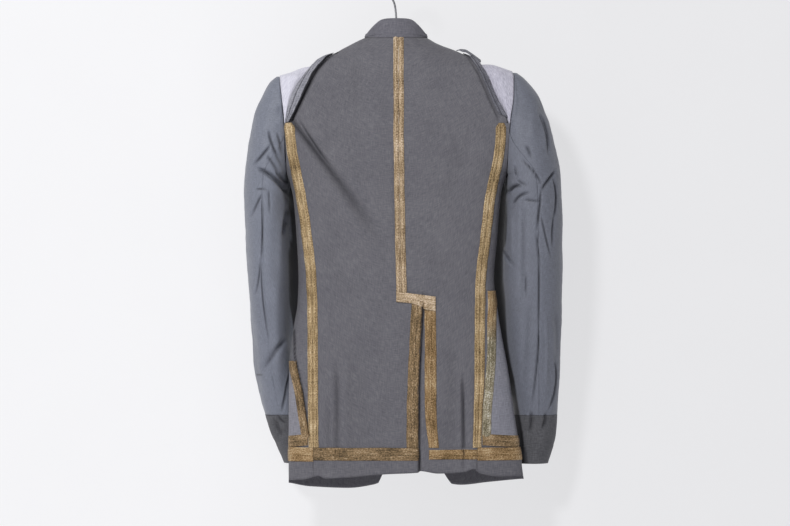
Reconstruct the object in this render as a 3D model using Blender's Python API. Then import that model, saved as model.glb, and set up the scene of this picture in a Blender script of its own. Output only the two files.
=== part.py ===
# Blazer hung on a plain hanger, back towards -Y. Sizes are in millimetres.
# The origin is the inside top of the hook's crown. +Z is up, +Y is the front of the blazer.
# Every cloth wall lies on one of three surfaces: the body, a sleeve or the collar.
# A surface is the outer face of the main cloth. Layers lie inside it or out from it.
import math

import bmesh
import bpy
from mathutils import Vector

CLOTH = 1.5
SEAM = 0.3
LAYER_IN = 0.3
LAYER_OUT = 1.3
TAPE_IN = 1.6
TAPE_OUT = 2.4


def clear_scene():
    for old in list(bpy.data.objects):
        bpy.data.objects.remove(old)
    for old in list(bpy.data.meshes):
        bpy.data.meshes.remove(old)


def mm(value):
    return value * 0.001


def smooth_table(rows, column):
    """A monotone cubic through one column of a table whose first column rises or falls."""
    pairs = sorted((row[0], row[column]) for row in rows)
    xs = [p[0] for p in pairs]
    ys = [p[1] for p in pairs]
    count = len(xs)
    slopes = [(ys[i + 1] - ys[i]) / (xs[i + 1] - xs[i]) for i in range(count - 1)]
    tangents = [slopes[0]]
    for i in range(1, count - 1):
        if slopes[i - 1] * slopes[i] <= 0:
            tangents.append(0.0)
        else:
            tangents.append(2 * slopes[i - 1] * slopes[i] / (slopes[i - 1] + slopes[i]))
    tangents.append(slopes[-1])

    def value(x):
        if x <= xs[0]:
            return ys[0] + tangents[0] * (x - xs[0])
        if x >= xs[-1]:
            return ys[-1] + tangents[-1] * (x - xs[-1])
        i = 0
        while x > xs[i + 1]:
            i += 1
        h = xs[i + 1] - xs[i]
        t = (x - xs[i]) / h
        a = (1 + 2 * t) * (1 - t) ** 2 * ys[i]
        b = t * (1 - t) ** 2 * h * tangents[i]
        c = t * t * (3 - 2 * t) * ys[i + 1]
        d = t * t * (t - 1) * h * tangents[i + 1]
        return a + b + c + d

    return value


def straight_table(rows, column):
    """Straight lines through one column of a table, held level past its ends."""
    pairs = sorted((row[0], row[column]) for row in rows)

    def value(x):
        if x <= pairs[0][0]:
            return pairs[0][1]
        for (x0, y0), (x1, y1) in zip(pairs, pairs[1:]):
            if x <= x1:
                return y0 + (y1 - y0) * (x - x0) / (x1 - x0)
        return pairs[-1][1]

    return value


def step(x, start, end):
    t = min(max((x - start) / (end - start), 0.0), 1.0)
    return t * t * (3 - 2 * t)


# Body rings: height, left half width, right half width, back depth, front depth, squareness
BODY = [
    (-104.0, 51.0, 48.0, 44.0, 40.0, 2.1),
    (-107.0, 58.0, 54.0, 45.0, 41.0, 2.1),
    (-112.0, 68.5, 62.0, 46.0, 43.0, 2.1),
    (-118.0, 80.0, 75.0, 47.5, 45.0, 2.1),
    (-124.0, 91.5, 92.0, 48.5, 47.0, 2.1),
    (-130.0, 103.0, 106.0, 49.5, 49.0, 2.1),
    (-137.0, 122.0, 124.0, 50.5, 51.0, 2.1),
    (-143.5, 138.0, 139.0, 51.0, 52.0, 2.1),
    (-150.0, 150.0, 160.0, 51.5, 53.0, 2.1),
    (-158.0, 165.0, 184.0, 52.0, 54.0, 2.1),
    (-164.0, 181.0, 199.0, 52.5, 55.0, 2.1),
    (-169.5, 200.0, 207.0, 53.0, 56.0, 2.15),
    (-178.0, 210.0, 217.0, 53.5, 57.0, 2.2),
    (-203.0, 224.0, 236.0, 54.5, 60.0, 2.4),
    (-225.0, 231.0, 238.0, 55.0, 62.0, 2.5),
    (-247.0, 231.0, 236.0, 55.5, 63.0, 2.6),
    (-268.0, 222.0, 226.0, 55.5, 63.0, 2.75),
    (-290.0, 208.0, 211.0, 55.0, 62.0, 2.9),
    (-310.0, 195.0, 196.5, 54.5, 61.0, 3.1),
    (-322.0, 187.7, 188.0, 54.0, 60.0, 3.2),
    (-331.0, 182.5, 182.0, 53.5, 59.0, 3.25),
    (-350.0, 178.0, 176.5, 53.0, 57.0, 3.3),
    (-375.0, 175.0, 173.0, 52.5, 55.0, 3.3),
    (-438.0, 169.0, 168.0, 51.0, 52.0, 3.2),
    (-502.0, 164.0, 162.0, 50.0, 50.0, 3.1),
    (-544.0, 164.5, 165.0, 49.0, 49.0, 3.0),
    (-590.0, 172.0, 172.0, 48.0, 47.0, 2.9),
    (-656.0, 178.0, 184.0, 46.0, 45.0, 2.8),
    (-720.0, 179.0, 193.0, 44.5, 43.0, 2.7),
    (-790.0, 179.0, 204.0, 43.0, 41.0, 2.6),
    (-855.0, 179.5, 213.0, 42.0, 40.0, 2.6),
]
body_left = smooth_table(BODY, 1)
body_right = smooth_table(BODY, 2)
body_back = smooth_table(BODY, 3)
body_front = smooth_table(BODY, 4)
body_square = smooth_table(BODY, 5)

# Soft folds in the back: top x, top z, bottom x, bottom z, half width, depth out (+) or in (-)
BACK_FOLDS = [
    (-172.0, -238.0, -18.0, -445.0, 16.0, -3.2),
    (-150.0, -205.0, -40.0, -350.0, 22.0, 2.0),
    (-96.0, -640.0, -97.0, -850.0, 20.0, 2.6),
    (118.0, -650.0, 120.0, -850.0, 12.0, 3.6),
    (92.0, -640.0, 88.0, -850.0, 16.0, -2.4),
    (-60.0, -600.0, -52.0, -850.0, 24.0, -2.2),
    (118.0, -250.0, 60.0, -430.0, 26.0, -1.8),
    (-120.0, -520.0, -30.0, -600.0, 24.0, 1.6),
]
FRONT_FOLDS = [
    (-150.0, -260.0, -60.0, -430.0, 20.0, -2.6),
    (150.0, -270.0, 70.0, -450.0, 22.0, -2.4),
    (-110.0, -600.0, -105.0, -850.0, 20.0, 2.2),
    (112.0, -590.0, 118.0, -850.0, 18.0, 2.6),
]


def fold_height(folds, x, z):
    total = 0.0
    for x0, z0, x1, z1, width, depth in folds:
        dx = x1 - x0
        dz = z1 - z0
        length = math.hypot(dx, dz)
        along = ((x - x0) * dx + (z - z0) * dz) / (length * length)
        across = ((x - x0) * dz - (z - z0) * dx) / length
        ends = step(along, -0.12, 0.22) * (1 - step(along, 0.78, 1.12))
        total += depth * ends * math.exp(-(across / width) ** 2)
    return total


# The vent: the left back lies over the right back below the jog in the centre seam.
JOG_TOP = -524.0
CENTRE_SEAM = [
    (-104.0, 2.6),
    (-290.0, 3.4),
    (-400.0, 5.0),
    (-524.0, 7.6),
    (-855.0, 12.0),
]
SLIT = [
    (-524.0, 43.0),
    (-600.0, 39.0),
    (-680.0, 35.5),
    (-790.0, 34.8),
    (-855.0, 37.0),
]
centre_seam = smooth_table(CENTRE_SEAM, 1)
slit_line = smooth_table(SLIT, 1)


def half_width(x_sign, z):
    return body_right(z) if x_sign > 0 else body_left(z)


def superring(a, b, n, angle):
    c = math.cos(angle)
    s = math.sin(angle)
    x = a * math.copysign(abs(c) ** (2.0 / n), c)
    y = b * math.copysign(abs(s) ** (2.0 / n), s)
    gx = math.copysign(abs(x / a) ** (n - 1) / a, x)
    gy = math.copysign(abs(y / b) ** (n - 1) / b, y)
    size = math.hypot(gx, gy)
    return x, y, gx / size, gy / size


def body_point(z, angle, lower=0.0):
    """Angle 0 is the right side, -pi/2 the centre back, -pi and pi the left side."""
    right = math.cos(angle) >= 0
    back = math.sin(angle) < 0
    a = body_right(z) if right else body_left(z)
    b = body_back(z) if back else body_front(z)
    x, y, nx, ny = superring(a, b, body_square(z), angle)
    folds = BACK_FOLDS if back else FRONT_FOLDS
    out = fold_height(folds, x, z) * step(abs(y), 8.0, 30.0) + lower
    return Vector((x + nx * out, y + ny * out, z))


def body_normal(z, angle):
    side = body_point(z, angle + 0.004) - body_point(z, angle - 0.004)
    down = body_point(z - 0.4, angle) - body_point(z + 0.4, angle)
    normal = side.cross(down)
    normal.normalize()
    return normal


def angle_at_x(x, z, back=True):
    a = half_width(x, z)
    share = min(abs(x) / a, 1.0)
    angle = math.acos(share ** (body_square(z) / 2.0))
    if x < 0:
        angle = math.pi - angle
    return -angle if back else angle


def angle_at_y(y, z, left=True):
    b = body_back(z) if y < 0 else body_front(z)
    angle = math.asin(min(abs(y) / b, 1.0) ** (body_square(z) / 2.0))
    if left:
        angle = math.pi - angle
    return -angle if y < 0 else angle


def solve_height(width_of, width, low=-170.0, high=-100.0):
    """The height on the shoulder ridge where the body is this wide."""
    for _ in range(50):
        mid = 0.5 * (low + high)
        if width_of(mid) > width:
            low = mid
        else:
            high = mid
    return 0.5 * (low + high)


RIDGE_DROP = 120.0


def ridge_point(x, w):
    """A point on the shoulder: w is 0 on the ridge, below 0 at the back, over 0 in front."""
    width_of = body_right if x > 0 else body_left
    z = solve_height(width_of, abs(x)) - RIDGE_DROP * w * w
    a = width_of(z)
    n = body_square(z)
    b = body_back(z) if w < 0 else body_front(z)
    depth = b * max(1.0 - min(abs(x) / a, 1.0) ** n, 0.0) ** (1.0 / n)
    y = math.copysign(depth, w)
    out = 0.0
    if abs(w) > 0.02:
        folds = BACK_FOLDS if w < 0 else FRONT_FOLDS
        out = fold_height(folds, x, z) * step(abs(y), 8.0, 30.0)
        out = math.copysign(out, w)
    return Vector((x, y + out, z))


# The armhole: height, left x, right x
ARMHOLE = [
    (-160.0, -194.0, 191.0),
    (-169.0, -194.0, 194.0),
    (-204.0, -190.5, 193.0),
    (-240.0, -186.5, 188.0),
    (-291.0, -184.0, 184.0),
    (-331.0, -182.5, 182.0),
]
armhole_left = smooth_table(ARMHOLE, 1)
armhole_right = smooth_table(ARMHOLE, 2)
ARM_BACK = -247.0
ARM_GAP = 0.4
ARM_LOW = -330.0

# The strip that binds the body at the armhole: w on the shoulder, inner x, outer x (left, right)
STRIP = [
    (0.00, -103.0, -122.0, 108.0, 128.0),
    (0.20, -117.0, -138.0, 121.0, 138.0),
    (0.38, -134.0, -157.0, 133.0, 147.0),
    (0.56, -149.0, -172.5, 145.0, 156.0),
    (0.67, -159.5, -179.0, 152.5, 165.0),
    (0.78, -171.5, -183.5, 162.5, 178.0),
    (0.83, -178.0, -184.5, 168.0, 184.0),
]


def strip_edge(w, left, share):
    """x on the strip at this w: share 0 is its inner edge and 1 its outer edge."""
    inner = smooth_table(STRIP, 1 if left else 3)(abs(w))
    outer = smooth_table(STRIP, 2 if left else 4)(abs(w))
    return inner + (outer - inner) * share


def body_arm_line(left):
    """The edge of the body cloth under the strip, as x against height."""
    rows = []
    for i in range(0, 18):
        w = 0.83 * i / 17.0
        x = strip_edge(w, left, 0.8)
        z = solve_height(body_left if left else body_right, abs(x)) - RIDGE_DROP * w * w
        rows.append((z, x))
    return rows


ARM_LINE = {True: body_arm_line(True), False: body_arm_line(False)}
arm_line_left = straight_table(ARM_LINE[True], 1)
arm_line_right = straight_table(ARM_LINE[False], 1)
ARM_LINE_TOP = {True: ARM_LINE[True][0][0], False: ARM_LINE[False][0][0]}

# Side seams: height, left back x, right back x, left front x, right front x
SIDE_SEAMS = [
    (-247.0, -178.0, 172.0, -178.0, 176.0),
    (-291.0, -173.0, 169.5, -172.0, 170.0),
    (-335.0, -164.5, 161.0, -160.0, 160.0),
    (-375.0, -157.0, 153.0, -152.0, 152.0),
    (-438.0, -148.0, 146.0, -146.0, 146.0),
    (-502.0, -141.0, 138.6, -142.0, 142.0),
    (-565.0, -139.0, 137.0, -142.0, 144.0),
    (-656.0, -138.5, 136.5, -146.0, 150.0),
    (-740.0, -138.0, 134.5, -148.0, 156.0),
    (-855.0, -136.0, 131.0, -150.0, 164.0),
]
back_seam_left = smooth_table(SIDE_SEAMS, 1)
back_seam_right = smooth_table(SIDE_SEAMS, 2)
front_seam_left = smooth_table(SIDE_SEAMS, 3)
front_seam_right = smooth_table(SIDE_SEAMS, 4)

# The hem of the back: x, height
HEM = [
    (-180.0, -838.0),
    (-154.0, -836.0),
    (-128.0, -830.0),
    (-119.0, -834.0),
    (-86.0, -832.5),
    (-15.0, -826.5),
    (35.0, -824.0),
    (39.0, -821.5),
    (68.0, -825.5),
    (110.0, -823.5),
    (128.0, -818.5),
    (141.0, -826.5),
    (170.0, -831.0),
    (210.0, -831.0),
]
# The bottom edge of the fronts: x, height
FRONT_HEM = [
    (-180.0, -838.5),
    (-145.0, -845.5),
    (-80.0, -848.6),
    (-40.0, -843.5),
    (-23.0, -836.0),
    (-12.0, -815.0),
    (68.0, -815.0),
    (77.0, -834.0),
    (90.0, -841.5),
    (106.0, -843.5),
    (152.0, -838.5),
    (210.0, -832.0),
]
hem_back = smooth_table(HEM, 1)
hem_front = smooth_table(FRONT_HEM, 1)

BODY_ROWS = [
    -104.8, -108.0, -111.5, -117.0, -123.0, -130.0, -136.5, -142.0, -149.0, -156.0, -164.0, -173.0,
    -187.0, -208.0, -230.0, -247.0, -275.0, -303.0, -330.0, -375.0, -420.0, -465.0,
    -502.0, -524.0, -550.0, -590.0, -640.0, -690.0, -740.0, -766.0, -783.0, -804.0,
]

MATERIALS = {}


def material(name, colour, rough=0.85):
    if name not in MATERIALS:
        made = bpy.data.materials.new(name)
        made.use_nodes = True
        shader = made.node_tree.nodes["Principled BSDF"]
        shader.inputs["Base Color"].default_value = (*colour, 1.0)
        shader.inputs["Roughness"].default_value = rough
        MATERIALS[name] = made
    return MATERIALS[name]


def cloth_grey():
    return material("grey_cloth", (0.140, 0.138, 0.155))


def lining_grey():
    return material("sleeve_cloth", (0.190, 0.200, 0.235))


def cuff_dark():
    return material("cuff_cloth", (0.085, 0.083, 0.088))


def tape_gold():
    return material("gold_tape", (0.330, 0.240, 0.130))


def strip_grey():
    return material("grey_strip", (0.250, 0.250, 0.285))


def bag_grey():
    return material("pocket_cloth", (0.210, 0.215, 0.250))


def pad_pale():
    return material("pad_felt", (0.560, 0.550, 0.630))


def wood():
    return material("hanger_wood", (0.420, 0.270, 0.140), 0.5)


def steel():
    return material("hook_wire", (0.500, 0.500, 0.520), 0.3)


def horn():
    return material("button_horn", (0.045, 0.040, 0.038), 0.4)


def add_object(name, bm, shade):
    bmesh.ops.recalc_face_normals(bm, faces=bm.faces[:])
    mesh = bpy.data.meshes.new(name)
    bm.to_mesh(mesh)
    bm.free()
    for polygon in mesh.polygons:
        polygon.use_smooth = True
    mesh.materials.append(shade)
    made = bpy.data.objects.new(name, mesh)
    bpy.context.scene.collection.objects.link(made)
    return made


def centre_line(z):
    """The middle of the body, which its walls face away from."""
    return 0.0, 0.0


def facing(surface, columns, rows, axis, flip):
    """1 if the grid's own normal points away from the axis, else -1."""
    if axis is None:
        return -1.0 if flip else 1.0
    total = 0.0
    for j in range(0, rows + 1, 2):
        for i in range(0, columns + 1):
            here, normal = place_normal(surface, i, j)
            x, y = axis(here.z)
            total += (here.x - x) * normal.x + (here.y - y) * normal.y
    return 1.0 if total > 0 else -1.0


def place_normal(surface, i, j):
    e = 0.02
    here = surface(i, j)
    if hasattr(surface, "normal"):
        return here, surface.normal(i, j)
    side = surface(i + e, j) - surface(i - e, j)
    down = surface(i, j + e) - surface(i, j - e)
    normal = side.cross(down)
    normal.normalize()
    return here, normal


def wall(name, surface, columns, rows, shade, inner=-CLOTH, outer=0.0, keep=None, ring=False,
         axis=centre_line, flip=False):
    """A closed wall between two offsets of surface(i, j).

    The surface takes real grid places, so its normal comes from points beside each place.
    keep(i, j) says which cells exist. ring joins the last column to the first.
    The walls face away from axis(z), or as flip says where axis is None.
    """
    bm = bmesh.new()
    inside = {}
    outside = {}
    based = {}
    cells = []
    turn = facing(surface, columns, rows, axis, flip)
    for j in range(rows):
        for i in range(columns):
            if keep is None or keep(i, j):
                cells.append((i, j))
    wrap = columns if ring else columns + 1

    def corner(i, j):
        place = (i % wrap, j)
        if place not in inside:
            here, normal = place_normal(surface, place[0], j)
            normal = normal * turn
            based[place] = here
            inside[place] = bm.verts.new((here + normal * inner) * 0.001)
            outside[place] = bm.verts.new((here + normal * outer) * 0.001)
        return place

    edges = {}
    for i, j in cells:
        loop = [corner(i, j), corner(i + 1, j), corner(i + 1, j + 1), corner(i, j + 1)]
        # Both faces are cut along the same shorter diagonal, so that layers stay parallel.
        long_way = (based[loop[0]] - based[loop[2]]).length
        short_way = (based[loop[1]] - based[loop[3]]).length
        cut = ((0, 1, 2), (0, 2, 3))
        if long_way > short_way + 0.5:
            cut = ((0, 1, 3), (1, 2, 3))
        for k in cut:
            bm.faces.new([outside[loop[n]] for n in k])
            bm.faces.new([inside[loop[n]] for n in reversed(k)])
        for p, q in zip(loop, loop[1:] + loop[:1]):
            key = (q, p)
            if key in edges:
                del edges[key]
            else:
                edges[(p, q)] = True
    for p, q in edges:
        bm.faces.new([outside[q], outside[p], inside[p], inside[q]])
    return add_object(name, bm, shade)


def row_height(rows, j):
    """Height at a real row place, straight between the named rows."""
    last = len(rows) - 1
    k = min(max(int(math.floor(j)), 0), last - 1)
    return rows[k] + (rows[k + 1] - rows[k]) * (j - k)


def lerp(a, b, t):
    return a + (b - a) * t


def flap_lift(x, z):
    """How far the left back is lifted towards the vent, so that it lies over the right back."""
    seam = centre_seam(z)
    return 1.9 * step(-z, 492.0, 521.0) * step(x, seam - 36.0, seam - 6.0)


def through_knots(t, knots):
    """Shares across a panel, straight between its named columns."""
    for (t0, v0), (t1, v1) in zip(knots, knots[1:]):
        if t <= t1:
            return v0 + (v1 - v0) * (t - t0) / (t1 - t0)
    (t0, v0), (t1, v1) = knots[-2:]
    return v0 + (v1 - v0) * (t - t0) / (t1 - t0)


def back_outer_angle(z, left):
    """The outer edge of a back half: the ridge, then the armhole, then the side seam."""
    top = ARM_LINE_TOP[left]
    gap = -0.5 * SEAM
    if z >= top:
        return angle_at_y(gap, z, left)
    if z > ARM_BACK:
        x = arm_line_left(z) if left else arm_line_right(z)
        limit = half_width(x, z) - 0.01
        x = math.copysign(min(abs(x), limit), x)
        angle = angle_at_x(x, z)
        edge = angle_at_y(gap, z, left)
        return max(angle, edge) if left else min(angle, edge)
    x = back_seam_left(z) + 0.5 * SEAM if left else back_seam_right(z) - 0.5 * SEAM
    return angle_at_x(x, z)


TAPE = 8.4
VENT_TAPES = [
    (-524.0, 25.0, 46.0, 63.5),
    (-612.0, 21.0, 46.0, 65.0),
    (-655.0, 18.5, 46.0, 65.5),
    (-720.0, 16.5, 46.5, 65.5),
    (-783.0, 16.0, 52.5, 69.0),
    (-855.0, 17.0, 56.0, 72.0),
]
vent_left_from = smooth_table(VENT_TAPES, 1)
vent_right_from = smooth_table(VENT_TAPES, 2)
vent_right_to = smooth_table(VENT_TAPES, 3)
BACK_ROWS = BODY_ROWS + [-830.0]
BACK_COUNT = len(BACK_ROWS) - 1
MAIN = 10


def row_of(z):
    return BACK_ROWS.index(z)


def hem_drop(x, z, j):
    """The last row of the back follows the hem."""
    if j <= BACK_COUNT - 1:
        return z
    return z + (hem_back(x) - BACK_ROWS[-1]) * (j - BACK_COUNT + 1)


def back_left_angle(i, z):
    """Columns: side seam, tape edge, body, tape edge, centre seam, vent tape edge, slit."""
    x_in = centre_seam(z) - 0.5 * SEAM
    outer = back_outer_angle(z, True)
    inner = angle_at_x(x_in, z)
    tape_out = angle_at_x(min(back_seam_left(z), -20.0) + TAPE, z)
    share_out = (tape_out - outer) / (inner - outer)
    share_out = lerp(1.0 / MAIN, share_out, step(-z, 225.0, -ARM_BACK))
    share_in = (angle_at_x(x_in - TAPE, z) - outer) / (inner - outer)
    share = through_knots(i, [(0, 0.0), (1, share_out), (MAIN - 1, share_in), (MAIN, 1.0)])
    if i <= MAIN:
        return lerp(outer, inner, share)
    knots = [(MAIN, x_in), (MAIN + 1, vent_left_from(z)), (MAIN + 2, slit_line(z))]
    return angle_at_x(through_knots(i, knots), z)


def back_left_point(i, j):
    z = row_height(BACK_ROWS, j)
    z = hem_drop(body_point(z, back_left_angle(i, z)).x, z, j)
    angle = back_left_angle(i, z)
    x = body_point(z, angle).x
    return body_point(z, angle, flap_lift(x, z))


def back_right_angle(i, z):
    """Columns: centre seam, tape edge, vent tape edges, body, tape edge, side seam."""
    x_in = centre_seam(z) + 0.5 * SEAM
    inner = angle_at_x(x_in, z)
    outer = back_outer_angle(z, False)
    tape_out = angle_at_x(back_seam_right(z) - TAPE, z)
    share_out = (tape_out - inner) / (outer - inner)
    share_out = lerp(1.0 - 1.0 / MAIN, share_out, step(-z, 225.0, -ARM_BACK))
    share_in = (angle_at_x(x_in + TAPE, z) - inner) / (outer - inner)
    share_a = (angle_at_x(vent_right_from(z), z) - inner) / (outer - inner)
    share_b = (angle_at_x(vent_right_to(z), z) - inner) / (outer - inner)
    vent = step(-z, 465.0, 524.0)
    even_a = lerp(share_in, share_out, 1.0 / (MAIN - 2))
    even_b = lerp(share_in, share_out, 2.0 / (MAIN - 2))
    share_a = lerp(even_a, share_a, vent)
    share_b = lerp(even_b, share_b, vent)
    knots = [(0, 0.0), (1, share_in), (2, share_a), (3, share_b), (MAIN - 1, share_out)]
    return lerp(inner, outer, through_knots(i, knots + [(MAIN, 1.0)]))


def back_right_point(i, j):
    z = row_height(BACK_ROWS, j)
    z = hem_drop(body_point(z, back_right_angle(i, z)).x, z, j)
    return body_point(z, back_right_angle(i, z))


def make_back_left():
    jog = row_of(-524.0)

    def keep(i, j):
        return i < MAIN or j >= jog

    return wall("back_left", back_left_point, MAIN + 2, BACK_COUNT, cloth_grey(), keep=keep)


def make_back_right():
    return wall("back_right", back_right_point, MAIN, BACK_COUNT, cloth_grey())


def laid(name, surface, i0, i1, j0, j1, shade, inner=LAYER_IN, outer=LAYER_OUT, cut=0.02,
         side_cut=0.0):
    """A piece that lies on a panel: some of the panel's own cells, moved out.

    cut shortens it at its foot, in rows, and side_cut at its first column.
    """
    last = j1 - j0

    def moved(i, j):
        foot = cut * min(max(j - last + 1, 0.0), 1.0)
        side = side_cut * (1 - min(max(i, 0.0), 1.0))
        return i + i0 + side, j + j0 - foot

    def shifted(i, j):
        return surface(*moved(i, j))

    if hasattr(surface, "normal"):
        shifted.normal = lambda i, j: surface.normal(*moved(i, j))

    return wall(name, shifted, i1 - i0, j1 - j0, shade, inner, outer)


def arm_angle(z, left, back):
    """The angle where the body ring meets the armhole."""
    x = armhole_left(z) + ARM_GAP if left else armhole_right(z) - ARM_GAP
    a = half_width(x, z)
    if abs(x) >= a:
        return math.copysign(math.pi if left else 0.0, -1 if back else 1)
    return angle_at_x(x, z, back)


SIDE_COLUMNS = 12
SIDE_ROWS = [z for z in BODY_ROWS if z <= ARM_BACK] + [-836.0]
SIDE_COUNT = len(SIDE_ROWS) - 1
# Pocket bags: height, left back edge x, right back edge x
BAGS = [
    (-500.0, -180.0, 153.0),
    (-528.0, -178.0, 152.0),
    (-560.0, -176.0, 151.0),
    (-610.0, -173.0, 150.5),
    (-654.0, -169.0, 150.0),
    (-700.0, -164.0, 149.0),
    (-760.0, -156.0, 146.0),
    (-783.0, -153.0, 145.0),
    (-855.0, -150.0, 143.0),
]
bag_left = smooth_table(BAGS, 1)
bag_right = smooth_table(BAGS, 2)


def side_top(t):
    """Height of the side panel's top: level horns beside the seams, the armhole between."""
    horn_share = 1.0 / SIDE_COLUMNS
    if t <= horn_share or t >= 1 - horn_share:
        return ARM_BACK
    u = (t - horn_share) / (1 - 2 * horn_share)
    return ARM_BACK + (ARM_LOW - ARM_BACK) * math.sin(math.pi * u) ** 0.8


def side_ends(z, left):
    if left:
        back = angle_at_x(back_seam_left(z) - 0.5 * SEAM, z, True)
        front = angle_at_x(front_seam_left(z) - 0.5 * SEAM, z, False) - 2 * math.pi
    else:
        back = angle_at_x(back_seam_right(z) + 0.5 * SEAM, z, True)
        front = angle_at_x(front_seam_right(z) + 0.5 * SEAM, z, False)
    return back, front


def side_share(t, z, left):
    """Columns: side seam, tape edge, pocket bag's edge, its tape's edge, then even."""
    back, front = side_ends(z, left)
    sign = -1.0 if left else 1.0
    seam = back_seam_left(z) if left else back_seam_right(z)
    bag = bag_left(z) if left else bag_right(z)
    limit = half_width(sign, z) - 0.3
    span = front - back

    def share_at(x):
        return (angle_at_x(sign * min(abs(x), limit), z, True) - back) / span

    tape = share_at(seam + sign * TAPE)
    bag_edge = max(share_at(bag), tape + 0.02)
    bag_tape = max(share_at(bag + sign * 9.5), bag_edge + 0.05)
    pocket = step(-z, 440.0, 524.0)
    even = 1.0 / SIDE_COLUMNS
    bag_edge = lerp(lerp(tape, 1.0, 1.0 / 11), bag_edge, pocket)
    bag_tape = lerp(lerp(tape, 1.0, 2.0 / 11), bag_tape, pocket)
    knots = [(0.0, 0.0), (even, tape), (2 * even, bag_edge), (3 * even, bag_tape), (1.0, 1.0)]
    return through_knots(t, knots)


def side_arm_share(t, left):
    z = side_top(t)
    back, front = side_ends(z, left)
    even = 1.0 / SIDE_COLUMNS
    arm = arm_angle(z, left, t <= 0.5)
    if left and t > 0.5:
        arm -= 2 * math.pi
    share = (arm - back) / (front - back)
    if t < even:
        share *= t / even
    if t > 1 - even:
        share = 1 - (1 - share) * (1 - t) / even
    return share


def side_surface(left):
    sign = -1 if left else 1

    def place(i, j):
        t = i / SIDE_COLUMNS
        inside = min(max(t, 0.0), 1.0)
        top = side_top(inside)
        fall = (row_height(SIDE_ROWS, j) - SIDE_ROWS[0]) / (SIDE_ROWS[-1] - SIDE_ROWS[0])
        z = lerp(top, SIDE_ROWS[-1], fall)
        # Below the chest every column keeps the common rows.
        level = row_height(SIDE_ROWS, j)
        z = lerp(z, level, step(-level, 340.0, 660.0))
        held = max(1 - max(fall, 0.0) * 3.0, 0.0) ** 2

        def angle_here(z):
            share = side_share(t, z, left)
            if held > 0:
                share += (side_arm_share(inside, left) - side_share(inside, top, left)) * held
            back, front = side_ends(z, left)
            return lerp(back, front, share)

        if j > SIDE_COUNT - 1:
            x = body_point(z, angle_here(z)).x
            front_share = max(2 * t - 1, 0.0)
            target = lerp(hem_back(x), hem_front(x), front_share)
            z = z + (target - SIDE_ROWS[-1]) * (j - SIDE_COUNT + 1)
        return z, angle_here(z)

    def surface(i, j):
        return body_point(*place(i, j))

    def normal(i, j):
        return body_normal(*place(i, j))

    surface.normal = normal
    return surface


def make_side(left):
    name = "side_left" if left else "side_right"
    return wall(name, side_surface(left), SIDE_COLUMNS, SIDE_COUNT, cloth_grey())


# Front edges: height, left edge x, right edge x
FRONT_EDGE = [
    (-108.0, -54.0, 49.5),
    (-130.0, -55.0, 52.0),
    (-160.0, -53.0, 51.0),
    (-220.0, -43.0, 42.0),
    (-300.0, -28.0, 27.0),
    (-400.0, -8.0, 8.0),
    (-460.0, 8.0, -8.0),
    (-490.0, 14.0, -14.0),
    (-640.0, 14.0, -12.0),
    (-690.0, 8.0, 0.0),
    (-740.0, 1.0, 18.0),
    (-783.0, -6.0, 40.0),
    (-815.0, -14.0, 62.0),
    (-838.0, -26.0, 84.0),
    (-850.0, -34.0, 96.0),
]
front_edge_left = smooth_table(FRONT_EDGE, 1)
front_edge_right = smooth_table(FRONT_EDGE, 2)


def front_lift(x, left):
    """The left front lies over the right front at the centre."""
    if left:
        return 2.6 * step(x, -75.0, -25.0)
    return 0.0


def front_angle_outer(z, left):
    top = ARM_LINE_TOP[left]
    gap = 0.5 * SEAM
    if z >= top:
        return angle_at_y(gap, z, left)
    if z > ARM_BACK:
        x = arm_line_left(z) if left else arm_line_right(z)
        limit = half_width(x, z) - 0.01
        x = math.copysign(min(abs(x), limit), x)
        angle = angle_at_x(x, z, False)
        edge = angle_at_y(gap, z, left)
        return min(angle, edge) if left else max(angle, edge)
    x = front_seam_left(z) + 0.5 * SEAM if left else front_seam_right(z) - 0.5 * SEAM
    return angle_at_x(x, z, False)


def make_front(left):
    main = 7
    rows = BODY_ROWS[1:] + [-845.0]
    count = len(rows) - 1

    def surface(i, j):
        z = row_height(rows, j)
        x_in = front_edge_left(z) if left else front_edge_right(z)
        start = front_angle_outer(z, left)
        angle = lerp(start, angle_at_x(x_in, z, False), i / main)
        x = body_point(z, angle).x
        if j > count - 1:
            z = z + (hem_front(x) - rows[count]) * (j - count + 1)
        return body_point(z, angle, front_lift(x, left))

    name = "front_left" if left else "front_right"
    return wall(name, surface, main, count, cloth_grey())


def band(name, path, columns, rows, shade, inner=LAYER_IN, outer=LAYER_OUT):
    """A strip laid on the body: path(s, t) gives x, height and how far the cloth lies in."""
    def surface(i, j):
        x, z, back, lower = path(i / columns, j / rows)
        return body_point(z, angle_at_x(x, z, back), lower)

    return wall(name, surface, columns, rows, shade, inner, outer)


def make_centre_tapes():
    jog = row_of(-524.0)
    left = laid("centre_tape_left", back_left_point, MAIN - 1, MAIN, 0, jog, tape_gold(),
                cut=0.15)
    right = laid("centre_tape_right", back_right_point, 0, 1, 0, jog, tape_gold(), cut=0.15)
    return [left, right]


# The jog tape: x, height of its top, height of its foot
JOG = [
    (-1.0, -524.6, -542.0),
    (24.0, -528.0, -544.5),
    (42.5, -530.5, -546.5),
    (50.0, -531.5, -547.0),
    (57.0, -532.5, -548.0),
    (64.0, -533.5, -549.0),
]
jog_top = straight_table(JOG, 1)
jog_foot = straight_table(JOG, 2)


def make_jog_tape():
    def path(s, t):
        x = JOG[0][0]
        k = min(int(max(s, 0.0) * 5), 4)
        x = lerp(JOG[k][0], JOG[k + 1][0], s * 5 - k)
        z = lerp(jog_top(x), jog_foot(x), t)
        lift = 1.9 * (1 - step(x, 43.0, 57.0))
        return x, z, True, lift

    return band("jog_tape", path, 5, 2, tape_gold(), 0.7, 1.6)


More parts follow.
